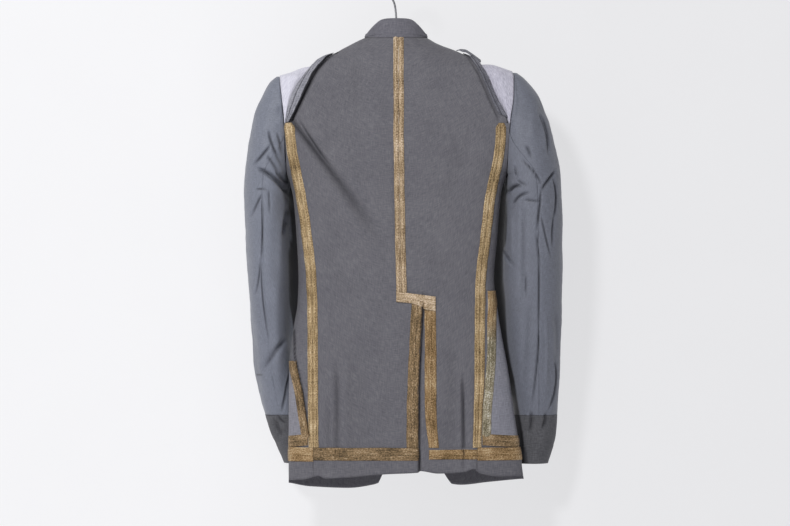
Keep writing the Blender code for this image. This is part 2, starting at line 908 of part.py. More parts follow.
def make_vent_tapes():
    top = row_of(-550.0)
    foot = row_of(-783.0)
    left = laid("vent_tape_left", back_left_point, MAIN + 1, MAIN + 2, top, foot, tape_gold())
    right = laid("vent_tape_right", back_right_point, 2, 3, top, foot, tape_gold())
    return [left, right]


def make_side_tapes():
    top = row_of(ARM_BACK)
    foot = row_of(-783.0)
    foot_side = SIDE_ROWS.index(-783.0)
    bag_side = SIDE_ROWS.index(-524.0)
    side_left = side_surface(True)
    side_right = side_surface(False)
    gold = tape_gold()
    laid("side_tape_left_in", back_left_point, 0, 1, top, foot, gold)
    laid("side_tape_right_in", back_right_point, MAIN - 1, MAIN, top, foot, gold)
    laid("side_tape_left_out", side_left, 0, 1, 0, foot_side, gold)
    laid("side_tape_right_out", side_right, 0, 1, 0, bag_side, gold)


def make_hems():
    top = row_of(-783.0)
    low = row_of(-804.0)
    left_end = MAIN + 2
    grey = cloth_grey()
    gold = tape_gold()
    laid("hem_turn_left", back_left_point, 0, left_end, top, BACK_COUNT, grey, cut=0.0)
    laid("hem_tape_left", back_left_point, 0, left_end, top, low, gold, TAPE_IN, TAPE_OUT,
         cut=0.0)
    laid("hem_turn_right", back_right_point, 2, MAIN, top, BACK_COUNT, grey, cut=0.0)
    laid("hem_tape_right", back_right_point, 2, MAIN, top, low, gold, TAPE_IN, TAPE_OUT,
         cut=0.0)
    side_top_row = SIDE_ROWS.index(-783.0)
    side_low = SIDE_ROWS.index(-804.0)
    for left in (True, False):
        name = "left" if left else "right"
        side = side_surface(left)
        laid("hem_turn_side_" + name, side, 0, 7, side_top_row, SIDE_COUNT, grey, cut=0.0)
        laid("hem_tape_side_" + name, side, 0, 7, side_top_row, side_low, gold,
             TAPE_IN, TAPE_OUT, cut=0.0)


def make_pocket(left):
    name = "left" if left else "right"
    side = side_surface(left)
    top = SIDE_ROWS.index(-640.0 if left else -524.0)
    foot = SIDE_ROWS.index(-783.0)
    hem = SIDE_ROWS.index(-766.0)
    gold = tape_gold()
    laid("pocket_bag_" + name, side, 2, 10, top, foot, bag_grey(), cut=0.03)
    laid("pocket_tape_" + name, side, 2, 3, top, hem, gold, TAPE_IN, TAPE_OUT, cut=0.05)
    laid("pocket_hem_tape_" + name, side, 2, 7, hem, foot, gold, TAPE_IN, TAPE_OUT, cut=0.05)


def make_arm_strip(left):
    rows = 24
    columns = 2
    reach = 0.825 if left else 0.815
    inner = 1.5 if left else 1.0

    def surface(i, j):
        w = lerp(-reach, reach, j / rows)
        x = strip_edge(w, left, lerp(0.08, 0.92, i / columns))
        return ridge_point(x, w)

    name = "arm_strip_left" if left else "arm_strip_right"
    return wall(name, surface, columns, rows, strip_grey(), inner, inner + 1.2)


def make_pad(left):
    rows = 14
    columns = 4
    reach = 0.82 if left else 0.79
    outer = -3.4 if left else -2.6

    def surface(i, j):
        w = lerp(-reach, reach, j / rows)
        if left:
            z = solve_height(body_left, 190.0) - RIDGE_DROP * w * w
            x_out = armhole_left(z) + 0.6
            x_in = strip_edge(w, True, 1.6 * w * w) + 14.0 * (1 - w * w)
        else:
            z = solve_height(body_right, 190.0) - RIDGE_DROP * w * w
            x_out = armhole_right(z) - 0.6
            x_in = strip_edge(w, False, 1.6 * w * w) - 14.0 * (1 - w * w)
        return ridge_point(lerp(x_in, x_out, i / columns), w)

    name = "pad_left" if left else "pad_right"
    return wall(name, surface, columns, rows, pad_pale(), -7.4, outer)


# Sleeve rings: height, outer x, middle x, inner x, back y, front y
SLEEVE_LEFT = [
    (-169.0, 199.0, 194.2, 194.0, -1.0, 1.0),
    (-178.0, 210.0, 195.0, 193.0, -1.0, 1.0),
    (-203.0, 224.0, 198.0, 190.0, -35.0, 38.0),
    (-225.0, 234.0, 201.5, 188.0, -41.0, 48.0),
    (-247.0, 239.5, 205.0, 186.0, -47.0, 55.0),
    (-291.0, 247.0, 211.0, 184.0, -53.0, 64.0),
    (-331.0, 252.5, 215.0, 182.6, -56.0, 70.0),
    (-350.0, 253.3, 216.5, 183.6, -56.5, 74.0),
    (-375.0, 253.5, 217.5, 182.0, -56.0, 78.0),
    (-438.0, 251.0, 216.5, 181.0, -53.0, 86.0),
    (-502.0, 247.5, 214.5, 180.0, -46.0, 91.0),
    (-544.0, 244.5, 212.5, 180.0, -38.0, 96.0),
    (-600.0, 241.5, 208.5, 178.0, -20.0, 105.0),
    (-656.0, 237.6, 203.5, 170.0, 0.0, 115.0),
    (-700.0, 228.5, 195.5, 163.0, 14.0, 123.0),
    (-750.0, 214.5, 182.5, 150.0, 29.0, 130.0),
    (-809.0, 189.5, 158.5, 127.0, 42.0, 137.0),
]
SLEEVE_RIGHT = [
    (-163.0, 199.0, 191.5, 191.0, -1.0, 1.0),
    (-172.0, 211.0, 195.5, 194.0, -1.0, 1.0),
    (-203.0, 236.0, 200.0, 193.0, -36.0, 38.0),
    (-225.0, 244.5, 204.0, 190.0, -42.0, 48.0),
    (-247.0, 253.5, 209.0, 187.5, -47.0, 55.0),
    (-291.0, 264.5, 218.0, 184.0, -52.0, 63.0),
    (-331.0, 271.5, 223.0, 182.1, -54.0, 68.0),
    (-350.0, 273.0, 225.0, 182.0, -54.0, 71.0),
    (-375.0, 274.0, 226.5, 180.8, -53.0, 74.0),
    (-438.0, 275.5, 227.0, 178.0, -49.0, 79.0),
    (-502.0, 275.2, 227.5, 177.0, -41.0, 84.0),
    (-544.0, 274.7, 228.0, 179.5, -33.0, 88.0),
    (-600.0, 273.5, 228.5, 183.5, -20.0, 95.0),
    (-656.0, 272.0, 229.5, 188.0, -6.0, 102.0),
    (-718.0, 268.5, 231.0, 194.0, 7.0, 110.0),
    (-762.0, 266.0, 231.5, 197.0, 15.0, 114.0),
    (-809.0, 253.0, 226.0, 198.0, 24.0, 117.0),
]
SLEEVE_SQUARE = 2.15
SLEEVE_TOPS = {True: -172.4, False: -167.4}
SLEEVE_CLOTH = 1.2
HIND_TOP = -262.0
SLEEVE_END = -731.0
CUFF_END = -809.0
SLEEVE = {}
for side_is_left, sleeve_rows in ((True, SLEEVE_LEFT), (False, SLEEVE_RIGHT)):
    SLEEVE[side_is_left] = [smooth_table(sleeve_rows, k) for k in range(1, 6)]

# Creases of the sleeves: top x, top z, bottom x, bottom z, half width, depth (left side x below 0)
SLEEVE_FOLDS = [
    (-236.0, -316.0, -214.0, -292.0, 8.0, -3.2),
    (-216.0, -324.0, -178.0, -372.0, 8.0, -3.4),
    (-226.0, -600.0, -184.0, -690.0, 10.0, -2.6),
    (-196.0, -690.0, -178.0, -620.0, 9.0, -2.4),
    (-240.0, -420.0, -196.0, -470.0, 14.0, -2.0),
    (-232.0, -200.0, -222.0, -560.0, 22.0, 1.6),
    (238.0, -352.0, 262.0, -326.0, 9.0, -3.0),
    (190.0, -352.0, 214.0, -380.0, 9.0, -2.8),
    (250.0, -160.0, 259.0, -400.0, 12.0, -2.6),
    (174.0, -455.0, 196.0, -492.0, 10.0, -2.6),
    (236.0, -560.0, 222.0, -700.0, 12.0, -2.6),
    (262.0, -600.0, 250.0, -700.0, 12.0, -2.2),
]


def sleeve_point(z, phi, left):
    """phi 0 is the side away from the body, -pi/2 the back, pi the side by the body."""
    outer_of, middle_of, inner_of, back_of, front_of = SLEEVE[left]
    sign = -1.0 if left else 1.0
    middle = middle_of(z)
    back_y = back_of(z)
    front_y = front_of(z)
    arm_x = abs(armhole_left(z) if left else armhole_right(z)) + ARM_GAP
    body_y = {True: 0.0, False: 0.0}
    if z > ARM_LOW:
        for back in (True, False):
            angle = arm_angle(z, left, back)
            body_y[back] = body_point(z, angle).y
        back_y = min(back_y, body_y[True] * 1.03)
        front_y = max(front_y, body_y[False] * 1.03)
    centre = 0.5 * (back_y + front_y)
    depth = 0.5 * (front_y - back_y)
    inner = middle - inner_of(z)
    back = math.sin(phi) < 0
    if z > ARM_LOW:
        eta = min(abs(body_y[back] - centre) / depth, 0.995)
        reach = (1.0 - eta ** SLEEVE_SQUARE) ** (1.0 / SLEEVE_SQUARE)
        cut = (middle - arm_x) / reach
        inner = max(cut, 0.05)
    outward = math.cos(phi) >= 0
    half = outer_of(z) - middle if outward else inner
    x, y, nx, ny = superring(half, depth, SLEEVE_SQUARE, phi)
    out = 0.0
    if back:
        out = fold_height(SLEEVE_FOLDS, sign * (middle + x), z) * step(abs(y), 6.0, 26.0)
    return Vector((sign * (middle + x + nx * out), centre + y + ny * out, z))


def sleeve_normal(z, phi, left):
    side = sleeve_point(z, phi + 0.004, left) - sleeve_point(z, phi - 0.004, left)
    down = sleeve_point(z - 0.4, phi, left) - sleeve_point(z + 0.4, phi, left)
    normal = side.cross(down)
    normal.normalize()
    return normal


def sleeve_arm_phi(z, left, back):
    """Where the sleeve ring meets the armhole."""
    outer_of, middle_of, inner_of, back_of, front_of = SLEEVE[left]
    angle = {b: arm_angle(z, left, b) for b in (True, False)}
    body_y = {b: body_point(z, angle[b]).y for b in (True, False)}
    back_y = min(back_of(z), body_y[True] * 1.03)
    front_y = max(front_of(z), body_y[False] * 1.03)
    centre = 0.5 * (back_y + front_y)
    depth = 0.5 * (front_y - back_y)
    eta = min(abs(body_y[back] - centre) / depth, 0.995)
    inside = abs(body_y[back]) < 1e-6 or (body_y[back] - centre) * (-1 if back else 1) < 0
    rise = math.asin(eta ** (SLEEVE_SQUARE / 2.0))
    phi = math.pi - rise
    if inside:
        phi = math.pi + rise
    return -phi if back else phi


def seam_phi(z, left, back):
    """The hind and the fore seam of the sleeve."""
    level = math.radians(83.0 if back else 97.0)
    start = abs(sleeve_arm_phi(HIND_TOP, left, back))
    phi = lerp(start, level, step(-z, -HIND_TOP, 335.0))
    return -phi if back else phi


SLEEVE_ROWS = [
    -175.5, -181.0, -189.0, -201.0, -215.0, -231.0, -247.0, -262.0, -285.0, -308.0,
    -331.0, -362.0, -395.0, -430.0, -470.0, -510.0, -550.0, -590.0, -630.0, -665.0,
    -700.0, -731.0,
]


def sleeve_axis(left):
    middle_of = SLEEVE[left][1]
    sign = -1.0 if left else 1.0

    def axis(z):
        y = 0.5 * (SLEEVE[left][3](z) + SLEEVE[left][4](z))
        return sign * middle_of(z), y

    return axis


def make_sleeve_top(left):
    rows = [SLEEVE_TOPS[left]] + SLEEVE_ROWS
    if not left:
        rows = [SLEEVE_TOPS[left], -170.5] + SLEEVE_ROWS
    columns = 10
    shift = math.radians(0.15)

    def surface(i, j):
        z = row_height(rows, j)
        if z >= HIND_TOP:
            back = sleeve_arm_phi(z, left, True)
            front = sleeve_arm_phi(z, left, False)
        else:
            back = seam_phi(z, left, True) + shift
            front = seam_phi(z, left, False) - shift
        return sleeve_point(z, lerp(back, front, i / columns), left)

    name = "sleeve_top_left" if left else "sleeve_top_right"
    return wall(name, surface, columns, len(rows) - 1, lining_grey(), -SLEEVE_CLOTH,
                axis=sleeve_axis(left))


def make_sleeve_under(left):
    rows = [z for z in SLEEVE_ROWS if z <= HIND_TOP]
    columns = 8
    shift = math.radians(0.15)

    def top(t):
        u = min(max(t, 0.0), 1.0)
        return HIND_TOP + (ARM_LOW - HIND_TOP) * math.sin(math.pi * u) ** 0.8

    def ends(z):
        back = 2 * math.pi + seam_phi(z, left, True) - shift
        front = seam_phi(z, left, False) + shift
        return back, front

    def top_share(t):
        z = top(t)
        back, front = ends(z)
        if t <= 0.5:
            arm = 2 * math.pi + sleeve_arm_phi(z, left, True)
        else:
            arm = sleeve_arm_phi(z, left, False)
        return min(max((arm - back) / (front - back), 0.0), 1.0)

    def place(i, j):
        t = i / columns
        inside = min(max(t, 0.0), 1.0)
        fall = (row_height(rows, j) - rows[0]) / (rows[-1] - rows[0])
        z = lerp(top(inside), rows[-1], fall)
        held = max(1 - max(fall, 0.0) * 2.4, 0.0) ** 2
        back, front = ends(z)
        share = t + (top_share(inside) - inside) * held
        return z, lerp(back, front, share)

    def surface(i, j):
        z, phi = place(i, j)
        return sleeve_point(z, phi, left)

    def normal(i, j):
        z, phi = place(i, j)
        return sleeve_normal(z, phi, left)

    surface.normal = normal

    name = "sleeve_under_left" if left else "sleeve_under_right"
    return wall(name, surface, columns, len(rows) - 1, lining_grey(), -SLEEVE_CLOTH,
                axis=sleeve_axis(left))


def make_cuff(left):
    columns = 24
    rows = [SLEEVE_END - SEAM, -757.0, -783.0, CUFF_END]

    def surface(i, j):
        z = row_height(rows, j)
        return sleeve_point(z, 2 * math.pi * i / columns, left)

    name = "cuff_left" if left else "cuff_right"
    return wall(name, surface, columns, 3, cuff_dark(), ring=True, axis=sleeve_axis(left))


# Collar: degrees from the centre back, height of its base, height of the stand
COLLAR = [
    (0.0, -104.4, 29.0),
    (15.0, -104.4, 29.0),
    (30.0, -104.4, 27.0),
    (45.0, -104.4, 20.0),
    (60.0, -104.4, 13.0),
    (75.0, -104.4, 9.0),
    (92.0, -104.4, 9.0),
    (110.0, -112.0, 14.0),
    (125.0, -122.0, 20.0),
]
collar_base = smooth_table(COLLAR, 1)
collar_rise = smooth_table(COLLAR, 2)
# Section of the collar: share of the way, distance out, share of the height
COLLAR_SECTION = [
    (0.00, -1.0, 0.00),
    (0.25, -1.2, 0.50),
    (0.42, -0.8, 0.90),
    (0.50, 1.9, 1.00),
    (0.58, 4.4, 0.90),
    (0.75, 4.4, 0.50),
    (1.00, 3.4, 0.00),
]
collar_out = smooth_table(COLLAR_SECTION, 1)
collar_up = smooth_table(COLLAR_SECTION, 2)


def make_collar():
    columns = 22
    rows = 8

    def surface(i, j):
        degrees = lerp(-122.0, 122.0, i / columns)
        theta = math.radians(degrees)
        v = j / rows
        half = 50.0 if degrees < 0 else 47.5
        x = half * math.sin(theta)
        y = -42.5 * math.cos(theta) if abs(degrees) <= 90 else -34.0 * math.cos(theta)
        out = collar_out(v)
        lean = 1.0 - 0.07 * collar_up(v)
        turn = abs(degrees)
        z = collar_base(turn) + collar_rise(turn) * collar_up(v)
        return Vector((x * lean + out * math.sin(theta), y * lean - out * math.cos(theta), z))

    return wall("collar", surface, columns, rows, cloth_grey(), axis=None, flip=False)


# Lapels: height, width
LAPEL = [
    (-152.0, 58.0),
    (-175.0, 68.0),
    (-200.0, 74.0),
    (-260.0, 60.0),
    (-340.0, 36.0),
    (-420.0, 10.0),
]
lapel_width = smooth_table(LAPEL, 1)


def make_lapel(left):
    sign = -1.0 if left else 1.0
    edge = front_edge_left if left else front_edge_right

    def surface(i, j):
        z = lerp(-152.0, -420.0, j / 10)
        x = edge(z) + sign * (1.0 + lapel_width(z) * i / 4)
        z = z - 16.0 * (1 - j / 10) * (i / 4)
        return body_point(z, angle_at_x(x, z, False), front_lift(x, left))

    name = "lapel_left" if left else "lapel_right"
    inner = 1.9 if left else 1.1
    return wall(name, surface, 4, 10, cloth_grey(), inner, inner + 1.5)


# The raised loop of strip on the right shoulder: x, height
LOOP = [
    (99.0, -126.2),
    (106.0, -123.6),
    (113.0, -124.2),
    (122.0, -129.0),
    (131.0, -135.4),
    (139.0, -141.4),
]
loop_height = smooth_table(LOOP, 1)


def make_loop():
    def surface(i, j):
        x = lerp(99.0, 139.0, j / 10)
        return Vector((x, lerp(-7.0, 3.0, i), loop_height(x)))

    return wall("strip_loop_right", surface, 1, 10, strip_grey(), -0.5, 0.5, axis=None)


# Hanger: x, height of the top, half height, half depth
HANGER = [
    (0.0, -96.0, 11.0, 6.0),
    (30.0, -101.0, 10.5, 6.0),
    (60.0, -115.7, 10.0, 6.5),
    (100.0, -137.2, 9.5, 8.0),
    (135.0, -152.4, 9.0, 11.0),
    (160.0, -166.4, 8.0, 13.0),
    (170.0, -173.7, 5.0, 9.0),
]


def solid_rings(name, rings, shade):
    """A closed solid through rings of points, with a flat fan at each end."""
    bm = bmesh.new()
    made = [[bm.verts.new(p * 0.001) for p in ring] for ring in rings]
    count = len(rings[0])
    for a, b in zip(made, made[1:]):
        for k in range(count):
            bm.faces.new([a[k], a[(k + 1) % count], b[(k + 1) % count], b[k]])
    bm.faces.new(list(reversed(made[0])))
    bm.faces.new(made[-1])
    return add_object(name, bm, shade)


def make_hanger():
    top = smooth_table(HANGER, 1)
    half_z = smooth_table(HANGER, 2)
    half_y = smooth_table(HANGER, 3)
    rings = []
    for k in range(-8, 9):
        x = 170.0 * k / 8
        ring = []
        for q in range(12):
            a = 2 * math.pi * q / 12
            z = top(abs(x)) - half_z(abs(x)) * (1 - math.sin(a))
            ring.append(Vector((x, half_y(abs(x)) * math.cos(a), z)))
        rings.append(ring)
    return solid_rings("hanger_body", rings, wood())


WIRE = 1.7
CROWN = 18.0


def make_hook():
    path = [(0.0, -95.4), (-0.2, -86.0), (-0.6, -75.0), (-2.0, -60.0), (-4.0, -49.0)]
    path += [(-8.0, -41.0)]
    radius = CROWN + WIRE
    for k in range(15):
        a = math.radians(222.0 - 252.0 * k / 14)
        path.append((radius * math.cos(a), -CROWN + radius * math.sin(a)))
    rings = []
    for k, (x, z) in enumerate(path):
        before = path[max(k - 1, 0)]
        after = path[min(k + 1, len(path) - 1)]
        dx = after[0] - before[0]
        dz = after[1] - before[1]
        size = math.hypot(dx, dz)
        side = Vector((-dz / size, 0.0, dx / size))
        ring = []
        for q in range(8):
            a = 2 * math.pi * q / 8
            ring.append(Vector((x, 0.0, z)) + side * (WIRE * math.cos(a))
                        + Vector((0.0, WIRE * math.sin(a), 0.0)))
        rings.append(ring)
    return solid_rings("hook", rings, steel())


def make_ferrule():
    def surface(i, j):
        a = 2 * math.pi * i / 12
        return Vector((4.6 * math.cos(a), 4.6 * math.sin(a), lerp(-95.6, -88.0, j)))

    return wall("ferrule", surface, 12, 1, steel(), -2.5, 0.0, ring=True)


def make_button(number, z):
    y = body_point(z, math.pi / 2).y + 3.0
    rings = []
    for radius, out in ((8.0, 0.0), (9.6, 0.8), (9.6, 2.4), (8.4, 3.2)):
        rings.append([Vector((radius * math.cos(2 * math.pi * q / 12), y + out,
                              z + radius * math.sin(2 * math.pi * q / 12))) for q in range(12)])
    return solid_rings("button_%d" % number, rings, horn())


def build():
    clear_scene()
    make_back_left()
    make_back_right()
    for left in (True, False):
        make_side(left)
        make_front(left)
        make_lapel(left)
        make_pocket(left)
        make_arm_strip(left)
        make_pad(left)
        make_sleeve_top(left)
        make_sleeve_under(left)
        make_cuff(left)
    make_collar()
    make_loop()
    make_centre_tapes()
    make_jog_tape()
    make_vent_tapes()
    make_side_tapes()
    make_hems()
    make_button(1, -500.0)
    make_button(2, -592.0)
    make_hanger()
    make_ferrule()
    make_hook()


build()
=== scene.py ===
# A blazer hung inside out on a plain hanger, seen from behind. Sizes are in millimetres.
# Every piece of cloth lies on the body, a sleeve or the collar, moved out along its normal.
import math

import bpy
import numpy as np
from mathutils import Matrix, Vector


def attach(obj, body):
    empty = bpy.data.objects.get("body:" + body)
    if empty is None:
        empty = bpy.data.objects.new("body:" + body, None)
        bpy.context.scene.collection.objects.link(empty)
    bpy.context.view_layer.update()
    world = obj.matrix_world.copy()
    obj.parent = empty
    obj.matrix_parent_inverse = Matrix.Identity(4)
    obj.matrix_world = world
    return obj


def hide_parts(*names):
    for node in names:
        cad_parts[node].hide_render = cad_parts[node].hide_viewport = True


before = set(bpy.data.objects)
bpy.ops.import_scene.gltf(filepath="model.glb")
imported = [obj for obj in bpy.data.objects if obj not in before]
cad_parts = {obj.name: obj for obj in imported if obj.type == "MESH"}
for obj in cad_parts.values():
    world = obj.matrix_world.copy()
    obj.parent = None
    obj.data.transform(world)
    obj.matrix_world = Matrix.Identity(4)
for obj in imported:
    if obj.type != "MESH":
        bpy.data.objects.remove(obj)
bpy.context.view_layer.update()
PI = math.pi
# A millimetre in metres and a square millimetre in square metres
MM = 0.001
SQUARE_MM = 1e-6


# Tables and small sums
def smooth_table(rows, column):
    """A monotone cubic through one column of a table, straight on past its ends."""
    ordered = sorted(rows)
    xs = np.array([row[0] for row in ordered], dtype=float)
    ys = np.array([row[column] for row in ordered], dtype=float)
    slopes = np.diff(ys) / np.diff(xs)
    tangents = np.zeros(len(xs))
    tangents[0] = slopes[0]
    tangents[-1] = slopes[-1]
    for i in range(1, len(xs) - 1):
        if slopes[i - 1] * slopes[i] > 0:
            tangents[i] = 2 * slopes[i - 1] * slopes[i] / (slopes[i - 1] + slopes[i])

    def value(x):
        x = np.asarray(x, dtype=float)
        held = np.clip(x, xs[0], xs[-1])
        i = np.clip(np.searchsorted(xs, held, side="right") - 1, 0, len(xs) - 2)
        h = xs[i + 1] - xs[i]
        t = (held - xs[i]) / h
        a = (1 + 2 * t) * (1 - t) ** 2 * ys[i] + t * (1 - t) ** 2 * h * tangents[i]
        b = t * t * (3 - 2 * t) * ys[i + 1] + t * t * (t - 1) * h * tangents[i + 1]
        past = tangents[0] * np.minimum(x - xs[0], 0) + tangents[-1] * np.maximum(x - xs[-1], 0)
        return a + b + past

    return value


def step(x, start, end):
    t = np.clip((x - start) / (end - start), 0.0, 1.0)
    return t * t * (3 - 2 * t)


def lerp(a, b, t):
    return a + (b - a) * t


def rows_of(count):
    """Shares from 0 to 1 down a grid of this many faces."""
    return np.linspace(0, 1, count + 1)[:, None]


def columns_of(count):
    """Shares from 0 to 1 across a grid of this many faces."""
    return np.linspace(0, 1, count + 1)[None, :]


# The left side is True and comes first. It lies at negative x.
SIDES = (True, False)
SIGN = {True: -1.0, False: 1.0}


def side_name(kind, left):
    return kind + ("_left" if left else "_right")


def both_sides(rows, left_column, right_column):
    """The curves of two columns of a table, one for each side."""
    return {True: smooth_table(rows, left_column), False: smooth_table(rows, right_column)}


# The body's form
# Height, left half width, right half width, back depth, front depth, squareness
BODY = [
    (-104, 51, 48, 44, 40, 2.1),
    (-107, 58, 54, 45, 41, 2.1),
    (-112, 68.5, 62, 46, 43, 2.1),
    (-118, 80, 75, 47.5, 45, 2.1),
    (-124, 91.5, 92, 48.5, 47, 2.1),
    (-130, 103, 106, 49.5, 49, 2.1),
    (-137, 122, 124, 50.5, 51, 2.1),
    (-143.5, 138, 139, 51, 52, 2.1),
    (-150, 150, 160, 51.5, 53, 2.1),
    (-158, 165, 184, 52, 54, 2.1),
    (-164, 181, 199, 52.5, 55, 2.1),
    (-169.5, 200, 207, 53, 56, 2.15),
    (-178, 210, 217, 53.5, 57, 2.2),
    (-203, 224, 236, 54.5, 60, 2.4),
    (-225, 231, 238, 55, 62, 2.5),
    (-247, 231, 236, 55.5, 63, 2.6),
    (-268, 222, 226, 55.5, 63, 2.75),
    (-290, 208, 211, 55, 62, 2.9),
    (-310, 195, 196.5, 54.5, 61, 3.1),
    (-322, 187.7, 188, 54, 60, 3.2),
    (-331, 182.5, 182, 53.5, 59, 3.25),
    (-350, 176, 175.5, 53, 57, 3.3),
    (-375, 171, 171.5, 52.5, 55, 3.3),
    (-438, 166, 166.5, 51, 52, 3.2),
    (-502, 163, 161, 50, 50, 3.1),
    (-544, 164.5, 165, 49, 49, 3),
    (-590, 172, 172, 48, 47, 2.9),
    (-656, 178, 184, 46, 45, 2.8),
    (-720, 179, 193, 44.5, 43, 2.7),
    (-790, 179, 204, 43, 41, 2.6),
    (-855, 179.5, 213, 42, 40, 2.6),
]
body_left, body_right, body_back, body_front, body_square = (smooth_table(BODY, k) for k in range(1, 6))
BODY_SIDE = {True: body_left, False: body_right}

# Creases: start x, z; middle x, z; end x, z; half width at the start, at the end, depth, ridge
BACK_CREASES = [
    (-212, -193, -104, -332.5, -10, -455, 2.7, 11, -8, 1.8),
    (-166, -234, -130, -290, -100, -333, 1.8, 2.4, -3, 0.4),
    (-150, -205, -96, -300, -40, -370, 20, 24, 2.2, 0),
    (-62, -128, -66, -180, -58, -250, 15, 20, -3.4, 0),
    (-30, -180, -36, -300, -30, -420, 18, 18, 1.6, 0),
    (-99, -640, -98.5, -740, -99.5, -850, 4, 5.5, -3.4, 1.2),
    (-82, -620, -84, -740, -80, -850, 8, 10, 2.4, 0),
    (-112, -700, -114, -780, -118, -850, 5, 6, -1.8, 0.6),
    (109, -660, 110.5, -750, 112, -850, 2.6, 3.4, -4.2, 1),
    (122, -650, 123, -740, 124, -850, 7, 8, 3.2, 0),
    (92, -600, 90, -700, 88, -850, 12, 14, -2, 0),
    (-60, -600, -56, -720, -52, -850, 20, 22, -2.2, 0),
    (118, -250, 92, -340, 60, -430, 20, 28, -2, 0),
    (-120, -520, -80, -570, -30, -600, 20, 22, 1.8, 0),
    (40, -150, 46, -260, 44, -380, 22, 24, 1.4, 0),
    (20, -420, 70, -470, 120, -500, 18, 20, -1.4, 0),
    (-130, -430, -90, -500, -40, -530, 14, 18, -1.6, 0),
    (58, -560, 60, -680, 58, -790, 6, 7, -1.2, 0.4),
]
FRONT_CREASES = [
    (-150, -260, -110, -350, -60, -430, 16, 20, -2.6, 0.6),
    (150, -270, 115, -360, 70, -450, 16, 22, -2.4, 0.6),
    (-110, -600, -108, -720, -105, -850, 18, 20, 2.2, 0),
    (112, -590, 114, -720, 118, -850, 16, 18, 2.6, 0),
    (-60, -520, -90, -560, -130, -570, 12, 16, -1.6, 0.4),
    (60, -520, 95, -560, 135, -580, 12, 16, -1.6, 0.4),
]
CREASE_STEPS = 14


def crease_height(creases, x, z, shade_marks=False):
    """Valleys with a ridge along one side, deepest at the middle of their length.

    With shade marks it is instead how deep in a crease each point lies, from 0 to 1, as a share of painted
    shade.
    """
    total = np.zeros(np.broadcast(x, z).shape)
    for x0, z0, x1, z1, x2, z2, width0, width1, depth, ridge in creases:
        reach = 3.2 * max(width0, width1) + 4
        near = (x > min(x0, x1, x2) - reach) & (x < max(x0, x1, x2) + reach)
        near &= (z > min(z0, z1, z2) - reach) & (z < max(z0, z1, z2) + reach)
        if not near.any():
            continue
        px = x[near]
        pz = z[near]
        best = np.full(px.shape, 1e9)
        side = np.zeros(px.shape)
        along = np.zeros(px.shape)
        knots = np.linspace(0, 1, CREASE_STEPS + 1)
        pull_x = 2 * x1 - (x0 + x2) / 2
        pull_z = 2 * z1 - (z0 + z2) / 2
        kx = (1 - knots) ** 2 * x0 + 2 * knots * (1 - knots) * pull_x + knots ** 2 * x2
        kz = (1 - knots) ** 2 * z0 + 2 * knots * (1 - knots) * pull_z + knots ** 2 * z2
        for k in range(CREASE_STEPS):
            dx = kx[k + 1] - kx[k]
            dz = kz[k + 1] - kz[k]
            size2 = dx * dx + dz * dz
            t = np.clip(((px - kx[k]) * dx + (pz - kz[k]) * dz) / size2, 0, 1)
            gap = np.hypot(px - kx[k] - t * dx, pz - kz[k] - t * dz)
            closer = gap < best
            best = np.where(closer, gap, best)
            sign = np.sign((px - kx[k]) * dz - (pz - kz[k]) * dx)
            side = np.where(closer, sign, side)
            along = np.where(closer, (k + t) / CREASE_STEPS, along)
        width = lerp(width0, width1, along)
        if shade_marks:
            strength = np.clip(-depth / (1.5 * width), 0.0, 1.0)
            ends = step(along, -0.04, 0.3) * (1 - step(along, 0.5, 1.0))
            across = np.where(width < 2.6, 0.95, 0.6) * width
            mark = strength * ends * np.exp(-(best / across) ** 2)
            total[near] = np.maximum(total[near], mark)
            continue
        ends = step(along, -0.02, 0.16) * (1 - step(along, 0.68, 1.0))
        # A narrow crease has a sharp bottom, a wide one a round bottom.
        sharp = 1.3 if max(width0, width1) < 3.0 else 2.0
        valley = depth * np.exp(-(best / width) ** sharp)
        rise = ridge * np.exp(-((best * side - 2.1 * width) / (1.2 * width)) ** 2)
        total[near] += (valley + rise) * ends
    return total


WAVES = 9


def ripples(u, v, seed, longest):
    """Soft unevenness of hung cloth: a few waves in seeded directions, about 1 mm high."""
    chance = np.random.default_rng(seed)
    total = np.zeros(np.broadcast(u, v).shape)
    for _ in range(WAVES):
        length = longest * chance.uniform(0.35, 1.0)
        turn = chance.uniform(0, PI)
        shift = chance.uniform(0, 2 * PI)
        wave = (u * math.cos(turn) + v * math.sin(turn)) * 2 * PI / length + shift
        total += np.sin(wave) * length / longest
    return total / WAVES ** 0.5


# The vent: the left back lies over the right back below the jog in the centre seam
JOG_TOP = -524.0
CENTRE_SEAM = [(-104, 2.6), (-290, 3.4), (-400, 5), (-524, 7.6), (-855, 12)]
SLIT = [(-524, 43), (-600, 39), (-680, 35.5), (-790, 34.8), (-855, 37)]
centre_seam = smooth_table(CENTRE_SEAM, 1)
slit_line = smooth_table(SLIT, 1)

# The strip at the armhole: w on the shoulder, left inner x, outer x, right inner x, outer x
STRIP = [
    (0, -103, -122, 108, 128),
    (0.20, -117, -138, 121, 138),
    (0.38, -134, -157, 133, 147),
    (0.56, -149, -172.5, 145, 156),
    (0.67, -159.5, -179, 152.5, 165),
    (0.78, -171.5, -183.5, 162.5, 178),
    (0.83, -178, -184.5, 168, 184),
]
RIDGE_DROP = 120.0
STRIP_INSIDE = both_sides(STRIP, 1, 3)
STRIP_OUTSIDE = both_sides(STRIP, 2, 4)


def shoulder_height(left, width):
    """The height on the shoulder ridge where the body is this wide."""
    heights = np.linspace(-182.0, -100.0, 800)
    widths = BODY_SIDE[left](heights)
    order = np.argsort(widths)
    return np.interp(width, widths[order], heights[order])


def strip_edge(w, left, share):
    return lerp(STRIP_INSIDE[left](np.abs(w)), STRIP_OUTSIDE[left](np.abs(w)), share)


